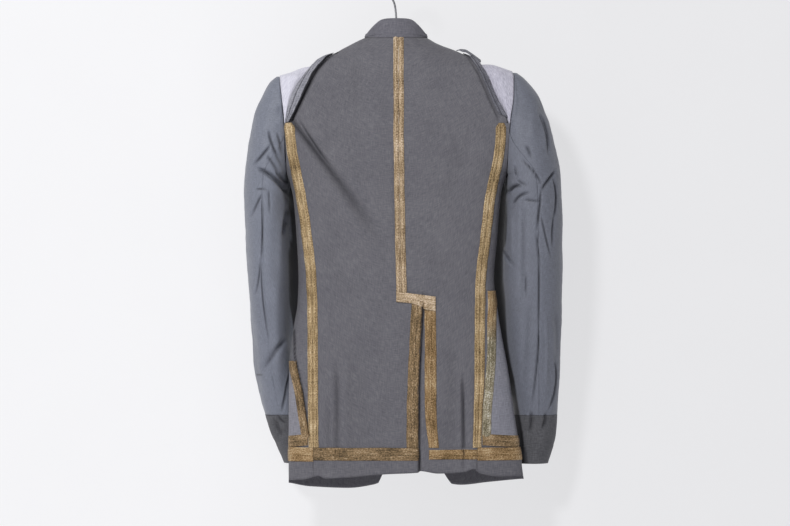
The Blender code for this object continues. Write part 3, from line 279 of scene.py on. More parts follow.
def strip_line(left, share):
    """One line along the strip, as height and x, for the cloth under it."""
    w = np.linspace(0, 0.84, 40)
    x = strip_edge(w, left, share)
    z = shoulder_height(left, np.abs(x)) - RIDGE_DROP * w * w
    return z[::-1], x[::-1]


STRIP_INNER = {left: strip_line(left, 0.0) for left in SIDES}
STRIP_MIDDLE = {left: strip_line(left, 0.8) for left in SIDES}


def strip_groove(x, z, back):
    """The body cloth falls away under the inner edge of the strip."""
    total = np.zeros(np.broadcast(x, z).shape)
    for left, depth, width in ((True, 8.5, 2.8), (False, 4.0, 2.0)):
        heights, line = STRIP_INNER[left]
        at = np.interp(z, heights, line)
        from_edge = (x - at) * SIGN[left]
        deep = np.exp(-((from_edge + 0.8 * width) / width) ** 2)
        ends = step(-z, 112.0, 135.0) * (1 - step(-z, 236.0, 247.0))
        total -= depth * deep * ends * np.where(back, 1.0, 0.3)
    return total


# Pocket bags: height, left back edge x, right back edge x
BAGS = [
    (-500, -178, 149.5),
    (-560, -174.5, 149.5),
    (-600, -171, 149),
    (-626, -170.5, 148.5),
    (-654, -165.5, 147.5),
    (-687, -158.5, 144.5),
    (-740, -150, 141),
    (-780, -144.5, 140),
    (-855, -140, 139),
]
BAG_EDGE = both_sides(BAGS, 1, 2)


def open_grooves(x, z, back):
    """The dark gaps where a layer stands free: beside the vent and beside the pocket bags."""
    total = np.zeros(np.broadcast(x, z).shape)
    past = x - slit_line(z)
    slit = step(past, 0.0, 0.7) * (1 - step(past, 2.6, 5.5)) * step(-z, 536.0, 548.0)
    total -= 7.0 * slit
    gap = (x - BAG_EDGE[True](z) - 1.6) / 1.5
    total -= 6.0 * np.exp(-gap ** 2) * step(-z, 560.0, 580.0) * (1 - step(-z, 750.0, 775.0))
    return total * back


SEAM_LINES = []


def seam_pucker(x, z):
    """Cloth drawn in beside the long seams, in short waves."""
    total = np.zeros(np.broadcast(x, z).shape)
    for line, top, foot, wave, height in SEAM_LINES:
        gap = np.abs(x - line(z))
        here = step(-z, -top, -top + 12) * (1 - step(-z, -foot - 12, -foot))
        total += height * np.sin(z * 2 * PI / wave + 2 * np.sin(z / 61.0)) * np.exp(-gap / 9) * here
    return total


def superring(a, b, n, angle):
    c = np.cos(angle)
    s = np.sin(angle)
    x = a * np.sign(c) * np.abs(c) ** (2.0 / n)
    y = b * np.sign(s) * np.abs(s) ** (2.0 / n)
    gx = np.sign(x) * np.abs(x / a) ** (n - 1) / a
    gy = np.sign(y) * np.abs(y / b) ** (n - 1) / b
    size = np.hypot(gx, gy)
    return x, y, gx / size, gy / size


def body_at(z, angle, lift=0.0, fine=True):
    """Angle 0 is the right side, -pi/2 the centre back, -pi and pi the left side."""
    z, angle = np.broadcast_arrays(np.asarray(z, dtype=float), angle)
    right = np.cos(angle) >= 0
    back = np.sin(angle) < 0
    a = np.where(right, body_right(z), body_left(z))
    b = np.where(back, body_back(z), body_front(z))
    x, y, nx, ny = superring(a, b, body_square(z), angle)
    relief = np.where(back, crease_height(BACK_CREASES, x, z), crease_height(FRONT_CREASES, x, z))
    if fine:
        relief = relief + 0.42 * ripples(x, z, 11, 120.0) + seam_pucker(x, z)
        relief = relief + 0.12 * ripples(x, z, 12, 30.0)
    relief = relief * step(np.abs(y), 8.0, 30.0) + strip_groove(x, z, back)
    relief = relief + open_grooves(x, z, back)
    out = relief + lift
    return np.stack([x + nx * out, y + ny * out, z], axis=-1)


# How far apart the places lie from which a normal is taken: radians, millimetres
NEAR_TURN = 0.006
NEAR_HEIGHT = 0.5


def body_normal(z, angle):
    side = body_at(z, angle + NEAR_TURN) - body_at(z, angle - NEAR_TURN)
    down = body_at(z - NEAR_HEIGHT, angle) - body_at(z + NEAR_HEIGHT, angle)
    return unit(np.cross(down, side))


def unit(vectors):
    return vectors / np.maximum(np.linalg.norm(vectors, axis=-1, keepdims=True), 1e-9)


def angle_at_x(x, z, back=True):
    a = np.where(np.asarray(x) > 0, body_right(z), body_left(z))
    share = np.minimum(np.abs(x) / a, 1.0)
    angle = np.arccos(share ** (body_square(z) / 2.0))
    angle = np.where(np.asarray(x) < 0, PI - angle, angle)
    return -angle if back else angle


def angle_at_y(y, z, left, back):
    b = body_back(z) if back else body_front(z)
    angle = np.arcsin(np.minimum(np.abs(y) / b, 1.0) ** (body_square(z) / 2.0))
    angle = PI - angle if left else angle
    return -angle if back else angle


# Seams of the body
# Height, left x and right x of the armhole
ARMHOLE = [
    (-160, -194, 191),
    (-169, -194, 194),
    (-204, -190.5, 193),
    (-240, -186.5, 188),
    (-291, -184, 184),
    (-331, -182.5, 182),
]
ARM_X = both_sides(ARMHOLE, 1, 2)
ARM_BACK = -247.0
ARM_LOW = -330.0
ARM_GAP = 0.4
# Height, left back x, right back x, left front x, right front x
SIDE_SEAMS = [
    (-247, -178, 172, -178, 176),
    (-291, -173, 169.5, -172, 170),
    (-335, -164.5, 161, -160, 160),
    (-375, -157, 153, -152, 152),
    (-438, -148, 146, -146, 146),
    (-502, -141, 138.6, -142, 142),
    (-565, -139, 137, -142, 144),
    (-656, -138.5, 136.5, -146, 150),
    (-740, -138, 134.5, -148, 156),
    (-855, -136, 131, -150, 164),
]
BACK_SEAM = both_sides(SIDE_SEAMS, 1, 2)
FRONT_SEAM = both_sides(SIDE_SEAMS, 3, 4)
SEAM_LINES += [
    (centre_seam, -110.0, JOG_TOP, 17.0, 0.55),
    (BACK_SEAM[True], -250.0, -780.0, 21.0, 0.5),
    (BACK_SEAM[False], -250.0, -780.0, 19.0, 0.5),
]
# The hem of the back: x, height
HEM = [
    (-180, -838), (-154, -836), (-128, -830), (-119, -834), (-86, -832.5),
    (-15, -826.5), (35, -824), (39, -821.5), (68, -825.5), (110, -823.5),
    (128, -818.5), (141, -826.5), (170, -831), (210, -831),
]
# The bottom edge of the fronts: x, height
FRONT_HEM = [
    (-180, -842.5), (-145, -849.5), (-80, -852.6), (-40, -847.5), (-23, -840),
    (-12, -815), (68, -815), (77, -838), (90, -845.5), (106, -847.5),
    (152, -842.5), (210, -836),
]
hem_back = smooth_table(HEM, 1)
hem_front = smooth_table(FRONT_HEM, 1)
# Height, left edge x and right edge x of the fronts
FRONT_EDGE = [
    (-108, -54, 49.5), (-130, -55, 52), (-160, -53, 51), (-220, -43, 42),
    (-300, -28, 27), (-400, -8, 8), (-460, 8, -8), (-490, 14, -14),
    (-640, 14, -12), (-690, 8, 0), (-740, 1, 18), (-783, -6, 40),
    (-815, -14, 62), (-838, -26, 84), (-850, -34, 96),
]
FRONT_EDGES = both_sides(FRONT_EDGE, 1, 2)


def outer_angle(z, left, back):
    """The outer edge of a back or a front: the ridge, then the armhole, then the side seam."""
    seam = (BACK_SEAM if back else FRONT_SEAM)[left]
    low = angle_at_x(seam(z), z, back)
    heights, line = STRIP_MIDDLE[left]
    arm = angle_at_x(np.interp(z, heights, line), z, back)
    ridge = angle_at_y(0.15, z, left, back)
    above = z >= heights[-1]
    return np.where(above, ridge, np.where(z > ARM_BACK, arm, low))


def arm_angle(z, left, back):
    x = np.abs(ARM_X[left](z)) - ARM_GAP
    side = PI if left else 0.0
    met = angle_at_x(SIGN[left] * x, z, back)
    return np.where(x >= BODY_SIDE[left](z), -side if back else side, met)


def flipped(*grids):
    """Grids with their columns in the other order."""
    return [grid[:, ::-1] for grid in grids]


# Meshes
SHEETS = {}
ENDING = "_sewn"


def link(name, mesh, shade):
    mesh.materials.append(shade)
    made = bpy.data.objects.new(name, mesh)
    bpy.context.scene.collection.objects.link(made)
    return made


def cloth(name, points, normals, outer, inner, shade, keep=None, ring=False, turned=False, shade_marks=0.0):
    """Both faces and the edges of one piece of cloth, with a map of its threads in metres.

    The map runs across and along the piece, and a turned piece has its length across.
    The shade marks say how much painted shade each point of the grid takes, from 0 to 1 in a crease and
    1.3 in a gap.
    """
    rows, columns = points.shape[0] - 1, points.shape[1] - 1
    wrap = columns if ring else columns + 1
    outer = np.broadcast_to(np.asarray(outer, dtype=float), points.shape[:2])[..., None]
    inner = np.broadcast_to(np.asarray(inner, dtype=float), points.shape[:2])[..., None]
    face = (points + normals * outer)[:, :wrap].reshape(-1, 3)
    lining = (points + normals * inner)[:, :wrap].reshape(-1, 3)
    shade_marks = np.broadcast_to(np.asarray(shade_marks, dtype=float), points.shape[:2])[:, :wrap].ravel()
    points = points[:, :wrap]
    below = len(face)
    verts = np.concatenate([face, lining]) * MM
    kept = np.ones((rows, columns), dtype=bool) if keep is None else keep
    jj, ii = np.nonzero(kept)
    nxt = (ii + 1) % wrap
    a = jj * wrap + ii
    b = jj * wrap + nxt
    c = (jj + 1) * wrap + nxt
    d = (jj + 1) * wrap + ii
    quads = [np.stack([a, d, c, b], axis=1), np.stack([a, b, c, d], axis=1) + below]
    steps_u = np.linalg.norm(np.diff(points, axis=1), axis=2)
    steps_v = np.linalg.norm(np.diff(points, axis=0), axis=2)
    if ring:
        closing = np.linalg.norm(points[:, :1] - points[:, -1:], axis=2)
        steps_u = np.concatenate([steps_u, closing], axis=1)
        steps_v = np.concatenate([steps_v, steps_v[:, :1]], axis=1)
    zero_u = np.zeros((steps_u.shape[0], 1))
    along_u = np.concatenate([zero_u, np.cumsum(steps_u, axis=1)], axis=1)
    along_u = along_u - along_u[:, columns // 2][:, None]
    zero_v = np.zeros((1, steps_v.shape[1]))
    along_v = np.concatenate([zero_v, np.cumsum(steps_v, axis=0)], axis=0)
    if turned:
        along_v = along_v - along_v[rows // 2][None, :]
        along_u, along_v = along_v, along_u
    maps = np.stack([along_u, along_v], axis=-1) * MM
    corner = [maps[jj, ii], maps[jj + 1, ii], maps[jj + 1, ii + 1], maps[jj, ii + 1]]
    uv = [np.stack(corner, axis=1), np.stack([corner[0], corner[3], corner[2], corner[1]], axis=1)]
    padded = np.zeros((rows + 2, columns + 2), dtype=bool)
    padded[1:-1, 1:-1] = kept
    if ring:
        padded[1:-1, 0] = kept[:, -1]
        padded[1:-1, -1] = kept[:, 0]
    sides = [
        (padded[0:-2, 1:-1], a, b, corner[0], corner[3]),
        (padded[2:, 1:-1], c, d, corner[2], corner[1]),
        (padded[1:-1, 0:-2], d, a, corner[1], corner[0]),
        (padded[1:-1, 2:], b, c, corner[3], corner[2]),
    ]
    flat_from = sum(len(q) for q in quads)
    for neighbour, p, q, up, uq in sides:
        bare = ~neighbour[jj, ii]
        quads.append(np.stack([p[bare], q[bare], q[bare] + below, p[bare] + below], axis=1))
        uv.append(np.stack([up[bare], uq[bare], uq[bare], up[bare]], axis=1))
    quads = np.concatenate(quads)
    uv = np.concatenate(uv)
    used, index = np.unique(quads, return_inverse=True)
    quads = index.reshape(quads.shape)
    mesh = bpy.data.meshes.new(name)
    mesh.vertices.add(len(used))
    mesh.vertices.foreach_set("co", verts[used].ravel())
    mesh.loops.add(quads.size)
    mesh.loops.foreach_set("vertex_index", quads.ravel().astype(np.int32))
    mesh.polygons.add(len(quads))
    mesh.polygons.foreach_set("loop_start", np.arange(0, quads.size, 4, dtype=np.int32))
    smooth = np.ones(len(quads), dtype=bool)
    smooth[flat_from:] = False
    mesh.polygons.foreach_set("use_smooth", smooth)
    layer = mesh.uv_layers.new(name="threads")
    layer.data.foreach_set("uv", uv.ravel())
    # Painted shade: how deep in a crease or a gap each point lies, and so how much darker its colour is
    # painted there.
    depth = mesh.attributes.new("fold", "FLOAT", "POINT")
    depth.data.foreach_set("value", np.concatenate([shade_marks, shade_marks])[used])
    mesh.update()
    mesh.validate()
    area = float((np.linalg.norm(np.cross(points[jj + 1, ii] - points[jj, ii],
                                          points[jj, nxt] - points[jj, ii]), axis=1)).sum()) * SQUARE_MM
    width = float(steps_u.sum(axis=1).max()) * MM
    length = float(steps_v.sum(axis=0).max()) * MM
    SHEETS[name + ENDING] = (width, length, min(area, width * length))
    return link(name + ENDING, mesh, shade)


# Colours and finishes
def linear(code):
    """sRGB hex to linear colour."""
    parts = [int(code[k:k + 2], 16) / 255 for k in (1, 3, 5)]
    return tuple(p / 12.92 if p <= 0.04045 else ((p + 0.055) / 1.055) ** 2.4 for p in parts) + (1.0,)


def add(tree, kind, settings=None, **links):
    """A node with its settings and its inputs, each a value or another node's socket."""
    node = tree.nodes.new(kind if "Node" in kind else "ShaderNode" + kind)
    for key, value in (settings or {}).items():
        setattr(node, key, value)
    for key, value in links.items():
        key = key.replace("_", " ")
        socket = node.inputs[int(key[1:])] if key[0] == "n" and key[1:].isdigit() else node.inputs[key]
        if isinstance(value, bpy.types.NodeSocket):
            tree.links.new(value, socket)
        else:
            socket.default_value = value
    return node


def sums(tree, operation, first, second=None):
    """One sum of one or two numbers or sockets."""
    terms = {"n0": first} if second is None else {"n0": first, "n1": second}
    return add(tree, "Math", {"operation": operation}, **terms).outputs[0]


def scaled(tree, value, low, high, to_low=0.0, to_high=1.0):
    """A value brought from one range to another."""
    return add(tree, "MapRange", Value=value, From_Min=low, From_Max=high, To_Min=to_low,
               To_Max=to_high).outputs[0]


def blended(tree, share, first, second):
    return add(tree, "Mix", {"data_type": "RGBA"}, Factor=share, A=first, B=second).outputs["Result"]


def flat_noise(tree, place, detail, rough=0.5):
    """Noise over the cloth's own map."""
    return add(tree, "TexNoise", {"noise_dimensions": "2D"}, Vector=place, Scale=1.0, Detail=detail,
               Roughness=rough).outputs["Fac"]


def clouds(tree, scale, detail, **more):
    """Noise through the space of the piece."""
    here = add(tree, "TexCoord").outputs["Object"]
    return add(tree, "TexNoise", Vector=here, Scale=scale, Detail=detail, **more).outputs["Fac"]


def coat(tree, shader, tint, height=None, strength=0.0, distance=0.0):
    """Colour for the shader and, where a height is given, its fine relief."""
    tree.links.new(tint, shader.inputs["Base Color"])
    if height is not None:
        relief = add(tree, "Bump", Height=height, Strength=strength, Distance=distance)
        tree.links.new(relief.outputs["Normal"], shader.inputs["Normal"])


def ramp(tree, factor, stops):
    node = add(tree, "ValToRGB", Fac=factor)
    band = node.color_ramp
    while len(band.elements) < len(stops):
        band.elements.new(0.5)
    for element, (place, colour) in zip(band.elements, stops):
        element.position = place
        element.color = linear(colour)
    return node.outputs["Color"]


def new_material(name, rough, sheen=0.0, specular=0.25):
    made = bpy.data.materials.new(name)
    made.use_nodes = True
    shader = made.node_tree.nodes["Principled BSDF"]
    shader.inputs["Roughness"].default_value = rough
    shader.inputs["Sheen Weight"].default_value = sheen
    shader.inputs["Specular IOR Level"].default_value = specular
    return made, made.node_tree, shader


def thread_map(tree, across, along):
    """The cloth's own map, in threads."""
    uv = add(tree, "UVMap", {"uv_map": "threads"}).outputs["UV"]
    return add(tree, "Mapping", Vector=uv, Scale=(1000 / across, 1000 / along, 1.0)).outputs["Vector"]


# How much longer a slub is than wide, how far painted shade darkens a deep crease, and the colour of that
# painted shade
SLUB_LONG = 9
PAINTED_SHADE_SHARE = 0.77
PAINTED_SHADE_COLOUR = "#1B1B20"


def woven(name, colour, light, dark, pitch, slub, bump, rough=0.88, sheen=0.08, mottle=0.5):
    """Woven cloth: crossing threads, slubs along both ways and soft mottling, with shade painted into
    creases and gaps.

    pitch is the drawn thread spacing in mm, coarser than the real one so that it shows.
    """
    made, tree, shader = new_material(name, rough, sheen)
    warp = flat_noise(tree, thread_map(tree, slub, slub * SLUB_LONG), 2.0)
    weft = flat_noise(tree, thread_map(tree, slub * SLUB_LONG, slub), 2.0)
    both = sums(tree, "ADD", warp, weft)
    mixed = sums(tree, "ADD", both, sums(tree, "MULTIPLY", clouds(tree, 22.0, 3.0), mottle))
    spread = scaled(tree, mixed, 0.6 + 0.5 * mottle, 1.4 + 0.5 * mottle)
    tint = ramp(tree, spread, [(0.0, dark), (0.5, colour), (1.0, light)])
    # Painted shade: the colour goes towards a near-black where the point attribute says a point lies deep
    # in a crease or a gap.
    shade_share = add(tree, "Attribute", {"attribute_name": "fold"}).outputs["Fac"]
    shade_share = sums(tree, "MULTIPLY", shade_share, PAINTED_SHADE_SHARE)
    split = add(tree, "SeparateXYZ", Vector=thread_map(tree, pitch, pitch))
    waves = [sums(tree, "SINE", sums(tree, "MULTIPLY", split.outputs[k], 2 * PI)) for k in (0, 1)]
    raised = sums(tree, "ADD", sums(tree, "MULTIPLY", *waves), both)
    coat(tree, shader, blended(tree, shade_share, tint, linear(PAINTED_SHADE_COLOUR)), raised, bump, 0.0004)
    return made


TONE_PLACES = (0.0, 0.28, 0.5, 0.72, 1.0)


def binding_tape(name, tones, fleck, patch=30.0, upper=None):
    """Bias tape of mottled gold and brown yarn: flecks a thread or two wide, and a row of
    darker stitching beside the middle line. tones go from the darkest fleck to the palest."""
    made, tree, shader = new_material(name, 0.75, 0.05)
    spots = flat_noise(tree, thread_map(tree, fleck, fleck * 1.7), 3.0, 0.7)
    streaks = flat_noise(tree, thread_map(tree, 2.4, 30.0), 2.0)
    mixed = sums(tree, "ADD", spots, sums(tree, "MULTIPLY", streaks, 0.45))
    mixed = sums(tree, "ADD", mixed, sums(tree, "MULTIPLY", clouds(tree, patch, 2.0), 0.6))
    spread = scaled(tree, mixed, 0.76, 1.29)
    tint = ramp(tree, spread, list(zip(TONE_PLACES, tones)))
    if upper:
        # Above a height of -0.58 m the tape is faded another way.
        here = add(tree, "TexCoord").outputs["Object"]
        height = add(tree, "SeparateXYZ", Vector=here).outputs[2]
        faded = ramp(tree, spread, list(zip(TONE_PLACES, upper)))
        tint = blended(tree, scaled(tree, height, -0.61, -0.57), tint, faded)
    # The row of stitching: short dark marks 1.6 mm from the middle line, one every 4.2 mm.
    parts = add(tree, "SeparateXYZ", Vector=thread_map(tree, 1.0, 4.2))
    off = sums(tree, "ABSOLUTE", sums(tree, "SUBTRACT", parts.outputs[0], 1.6))
    row = scaled(tree, off, 0.6, 1.1, 1.0, 0.0)
    dash = scaled(tree, sums(tree, "FRACT", parts.outputs[1]), 0.55, 0.7)
    mark = sums(tree, "MULTIPLY", sums(tree, "MULTIPLY", row, dash), 0.7)
    coat(tree, shader, blended(tree, mark, tint, linear(tones[0])), spots, 0.6, 0.0006)
    return made


def felt(name, colour, light, dark):
    """Needled shoulder pad felt: short pale fibres lying mostly upright."""
    made, tree, shader = new_material(name, 0.95, 0.25)
    noise = flat_noise(tree, thread_map(tree, 1.7, 9.0), 4.0, 0.7)
    tint = ramp(tree, noise, [(0.3, dark), (0.5, colour), (0.7, light)])
    coat(tree, shader, tint, noise, 0.5, 0.0008)
    return made


def beech(name):
    """Lacquered beech: fine pores along the grain under a satin coat."""
    made, tree, shader = new_material(name, 0.4)
    here = add(tree, "TexCoord").outputs["Object"]
    grain_map = add(tree, "Mapping", Vector=here, Scale=(30.0, 300.0, 300.0)).outputs["Vector"]
    grain = add(tree, "TexNoise", Vector=grain_map, Scale=1.0, Detail=4.0).outputs["Fac"]
    tint = ramp(tree, grain, [(0.3, "#6E4A2A"), (0.5, "#94683F"), (0.7, "#AC8055")])
    coat(tree, shader, tint, grain, 0.2, 0.0003)
    return made


def drawn_wire(name):
    """Plated drawn steel wire: finely mottled, slightly dulled."""
    made, tree, shader = new_material(name, 0.3, specular=0.5)
    shader.inputs["Metallic"].default_value = 1.0
    noise = clouds(tree, 260.0, 3.0)
    coat(tree, shader, ramp(tree, noise, [(0.3, "#85858A"), (0.7, "#B4B4B8")]))
    tree.links.new(scaled(tree, noise, 0.0, 1.0, 0.24, 0.42), shader.inputs["Roughness"])
    return made


def horn(name):
    """Moulded horn imitation: dark with brown clouds, polished."""
    made, tree, shader = new_material(name, 0.28)
    noise = clouds(tree, 110.0, 3.0, Distortion=1.4)
    coat(tree, shader, ramp(tree, noise, [(0.35, "#17120F"), (0.55, "#2C221C"), (0.75, "#4A382C")]))
    return made


def thread(name, colour, light):
    """Spun sewing thread in two shades."""
    made, tree, shader = new_material(name, 0.75, 0.1)
    coat(tree, shader, ramp(tree, clouds(tree, 900.0, 1.0), [(0.35, colour), (0.65, light)]))
    return made


WOOL = woven("plain_weave_grey_cloth", "#68676D", "#757479", "#5B5A61", 1.9, 1.3, 0.25)
WOOL_EDGE = woven("collar_cloth", "#696870", "#77767D", "#5C5B62", 1.9, 1.3, 0.25)
# The right sleeve's lining is a darker copy of the same cloth: painted shade for the side away from the
# light.
LINING = woven("smooth_sleeve_lining", "#797D89", "#858995", "#6D717C", 1.3, 1.0, 0.12,
               rough=0.55, sheen=0.1, mottle=0.3)
LINING_RIGHT = woven("smooth_sleeve_lining_right", "#6F727D", "#7A7D88", "#63666F", 1.3, 1.0, 0.12,
                     rough=0.55, sheen=0.1, mottle=0.3)
CUFF = woven("cuff_cloth", "#59595D", "#67676B", "#4B4B4F", 1.9, 1.3, 0.25)
POCKET = woven("pocket_bag_cloth", "#84848E", "#93939C", "#767680", 1.6, 1.2, 0.2)
POCKET_PALE = woven("pocket_bag_cloth_pale", "#84838B", "#929199", "#75747C", 1.6, 1.2, 0.2)
# The right strip's cloth is a darker copy of the left one: painted shade for the side away from the light.
STRIP_CLOTH = woven("armhole_strip_cloth", "#8E8E97", "#AEAEB6", "#63636C", 1.6, 1.1, 0.35)
STRIP_DARK = woven("armhole_strip_cloth_dark", "#6C6C75", "#8F8F98", "#45454D", 1.6, 1.1, 0.35)
GOLD = ("#665240", "#907A5C", "#AB9679", "#C5AC90", "#DFD0BA")
SIDE = ("#62503A", "#8C7551", "#A8916C", "#BFA47E", "#D8C7A4")
ORANGE = ("#564228", "#7B623F", "#967A57", "#AA8E68", "#C6B290")
BROWN = ("#463A2A", "#66543B", "#816B4E", "#977D5C", "#B9A588")
OLIVE = ("#4C4636", "#6E6650", "#898069", "#A89F8A", "#DEDACD")
TAPE_GOLD = binding_tape("gold_binding_tape", GOLD, 1.8)
TAPE_SIDE = binding_tape("side_binding_tape", SIDE, 1.8)
TAPE_ORANGE = binding_tape("ochre_binding_tape", ORANGE, 1.8)
TAPE_BROWN = binding_tape("brown_binding_tape", BROWN, 2.0, 45.0)
TAPE_OLIVE = binding_tape("olive_binding_tape", OLIVE, 1.6, 40.0, upper=ORANGE)
# The right pad is a darker copy of the same felt: painted shade for the side away from the light.
PAD_LEFT = felt("pad_felt", "#D4D3E0", "#E2E1EB", "#C2C1CF")
PAD_RIGHT = felt("pad_felt_shaded", "#BDBBC9", "#D2D0DC", "#A3A1B0")
GREY_THREAD = thread("grey_sewing_thread", "#55555C", "#6C6C74")
GOLD_THREAD = thread("gold_sewing_thread", "#7C6A4A", "#9C8760")
WOOD = beech("lacquered_beech")
WIRE = drawn_wire("drawn_steel_wire")
HORN = horn("moulded_horn_imitation")


# The backs, the sides and the fronts
# How far painted shade goes in a gap, past the 1 of a deep crease
GAP_DARK = 1.3
CLOTH_IN = -1.1
SEAM_HALF = 0.15
BACK_TOP = -104.8
BACK_FOOT = -826.0
SIDE_FOOT = -836.0
FRONT_TOP = -108.0
FRONT_FOOT = -845.0
HEM_FROM = -700.0


def drawn_to_hem(z, foot, hem):
    """The rows below HEM_FROM move towards the hem, the last one onto it."""
    return z + (hem - foot) * np.maximum((HEM_FROM - z) / (HEM_FROM - foot), 0.0)


def flap_lift(x, z):
    seam = centre_seam(z)
    return 1.9 * step(-z, 492.0, 521.0) * step(x, seam - 36.0, seam - 6.0)


def gap_shade_marks(x, z):
    """Painted shade in the dark line inside the left strip and in the one beside the left pocket tape."""
    groove = np.clip(-strip_groove(x, z, True) / 6.0, 0.0, GAP_DARK)
    groove = groove * (x < 0) + 0.4 * groove * (x > 0)
    beside = np.exp(-((x - BAG_EDGE[True](z) - 1.2) / 1.7) ** 2)
    beside = GAP_DARK * beside * step(-z, 550.0, 580.0) * (1 - step(-z, 758.0, 764.0))
    return np.maximum(groove, beside)


def make_back(left):
    columns = 74 if left else 84
    u = columns_of(columns)
    z = lerp(BACK_TOP, BACK_FOOT, rows_of(260)) + 0 * u
    inner = angle_at_x(centre_seam(z) + SIGN[left] * SEAM_HALF, z)
    outer = outer_angle(z, left, True)
    angle = lerp(outer, inner, u) if left else lerp(inner, outer, u)
    if left:
        # Below the jog the left back goes on past the centre seam to the slit.
        s = columns_of(14)[:, 1:]
        flap_z = z[:, :1] + 0 * s
        flap_x = lerp(centre_seam(flap_z), slit_line(flap_z), s)
        angle = np.concatenate([angle, angle_at_x(flap_x, flap_z)], axis=1)
        z = np.concatenate([z, flap_z], axis=1)
    x = body_at(z, angle, fine=False)[..., 0]
    z = drawn_to_hem(z, BACK_FOOT, hem_back(x))
    keep = np.ones((z.shape[0] - 1, z.shape[1] - 1), dtype=bool)
    keep[:, columns:] = z[:-1, columns:-1] < JOG_TOP
    points = body_at(z, angle, flap_lift(x, z) if left else 0.0)
    # Painted shade in the creases and in the gaps beside the strip and the pocket tape
    shade_marks = np.maximum(crease_height(BACK_CREASES, x, z, shade_marks=True), gap_shade_marks(x, z))
    return cloth(side_name("back", left), points, body_normal(z, angle), 0.0, CLOTH_IN, WOOL,
                 keep=keep, shade_marks=shade_marks)


def make_side(left):
    half = 28
    sign = SIGN[left]
    z = lerp(ARM_BACK, SIDE_FOOT, rows_of(240))
    back = angle_at_x(BACK_SEAM[left](z) + sign * SEAM_HALF, z)
    # At the hem it reaches a little under the front, so that no light comes through.
    apart = SEAM_HALF - 1.2 * step(-z, 770.0, 830.0)
    turn = 2 * PI if left else 0.0
    front = angle_at_x(FRONT_SEAM[left](z) + sign * apart, z, False) - turn
    low = z < ARM_LOW
    side_line = -PI if left else 0.0
    middle_back = np.where(low, side_line, arm_angle(z, left, True))
    middle_front = np.where(low, side_line, arm_angle(z, left, False) - turn)
    s = columns_of(half)
    angle = np.concatenate([lerp(back, middle_back, s), lerp(middle_front, front, s)], axis=1)
    z = z + 0 * angle
    x = body_at(z, angle, fine=False)[..., 0]
    is_back = np.arange(angle.shape[1])[None, :] <= half
    z = drawn_to_hem(z, SIDE_FOOT, np.where(is_back, hem_back(x), hem_front(x)))
    keep = np.ones((z.shape[0] - 1, z.shape[1] - 1), dtype=bool)
    # The two halves meet in one line and have no cloth between them.
    keep[:, half] = False
    # Painted shade in the gaps, on the back half only
    return cloth(side_name("side", left), body_at(z, angle), body_normal(z, angle), 0.0, CLOTH_IN,
                 WOOL, keep=keep, shade_marks=gap_shade_marks(x, z) * is_back)


def front_lift(x, left):
    return 2.6 * step(x, -75.0, -25.0) if left else 0.0 * x


def make_front(left):
    z = lerp(FRONT_TOP, FRONT_FOOT, rows_of(190))
    inner = angle_at_x(FRONT_EDGES[left](z), z, False)
    angle = lerp(outer_angle(z, left, False), inner, columns_of(48))
    z = z + 0 * angle
    x = body_at(z, angle, fine=False)[..., 0]
    z = drawn_to_hem(z, FRONT_FOOT, hem_front(x))
    points = body_at(z, angle, front_lift(x, left))
    return cloth(side_name("front", left), points, body_normal(z, angle), 0.0, CLOTH_IN, WOOL)


# Pieces laid on the body
TAPE = 8.4
TAPE_ROW = 2.5
TAPE_FOOT = -783.0


def crown(share):
    """The rounding across a tape: 0 at its edges and 1 in its middle."""
    return 1 - (2 * share - 1) ** 2


def lay(name, x, z, rise, shade, lift=0.0, thick=0.6, turned=False):
    """A thin piece on the back, from the places of its grid."""
    angle = angle_at_x(x, z)
    return cloth(name, body_at(z, angle, lift), body_normal(z, angle), rise, rise - thick, shade,
                 turned=turned)


def laid(name, x_from, x_to, top, foot, shade, low, high, seed, columns=6, wobble=0.35,
         lift_of=None, point=0.0):
    """A strip down the back between two lines x_from(z) and x_to(z)."""
    s = columns_of(columns)
    z = lerp(top, foot, rows_of(round((top - foot) / TAPE_ROW))) + 0 * s
    sway = wobble * ripples(z, 0 * z, seed, 60.0)
    # The cut upper end of a side tape is folded to a blunt point.
    narrow = 1.0 - point * (1 - step(top - z, -1.0, 9.0))
    x = lerp(x_from(z), x_to(z), s * narrow) + sway
    rise = lerp(low, high, crown(s)) + 0.12 * ripples(x, z, seed + 50, 26.0)
    return lay(name, x, z, rise, shade, lift_of(x, z) if lift_of else 0.0)


# The vent tapes: height, left tape's outer x, right tape's inner x and outer x
VENT_TAPES = [
    (-524, 25, 46, 63.5),
    (-612, 21, 46, 65),
    (-655, 18.5, 46, 65.5),
    (-720, 16.5, 46.5, 65.5),
    (-783, 16, 52.5, 69),
    (-855, 17, 56, 72),
]
vent_left_from, vent_right_from, vent_right_to = (smooth_table(VENT_TAPES, k) for k in (1, 2, 3))

def shifted(line, by):
    return lambda z: line(z) + by


def make_centre_tapes():
    return [
        laid("centre_tape_left", shifted(centre_seam, -0.1 - TAPE), shifted(centre_seam, -0.1),
             BACK_TOP, -541.0, TAPE_GOLD, 0.9, 1.7, seed=3, lift_of=flap_lift),
        laid("centre_tape_right", shifted(centre_seam, 0.1), shifted(centre_seam, 0.1 + TAPE),
             BACK_TOP, -527.0, TAPE_GOLD, 0.9, 1.7, seed=3, lift_of=flap_lift),
    ]


# The jog tape: x, height of its top, height of its foot
JOG = [
    (-1, -524.6, -542),
    (24, -528, -544.5),
    (42.5, -530.5, -551),
    (50, -531.5, -556),
    (57, -532.5, -557),
    (64, -533.5, -558),
]
jog_top = smooth_table(JOG, 1)
jog_foot = smooth_table(JOG, 2)


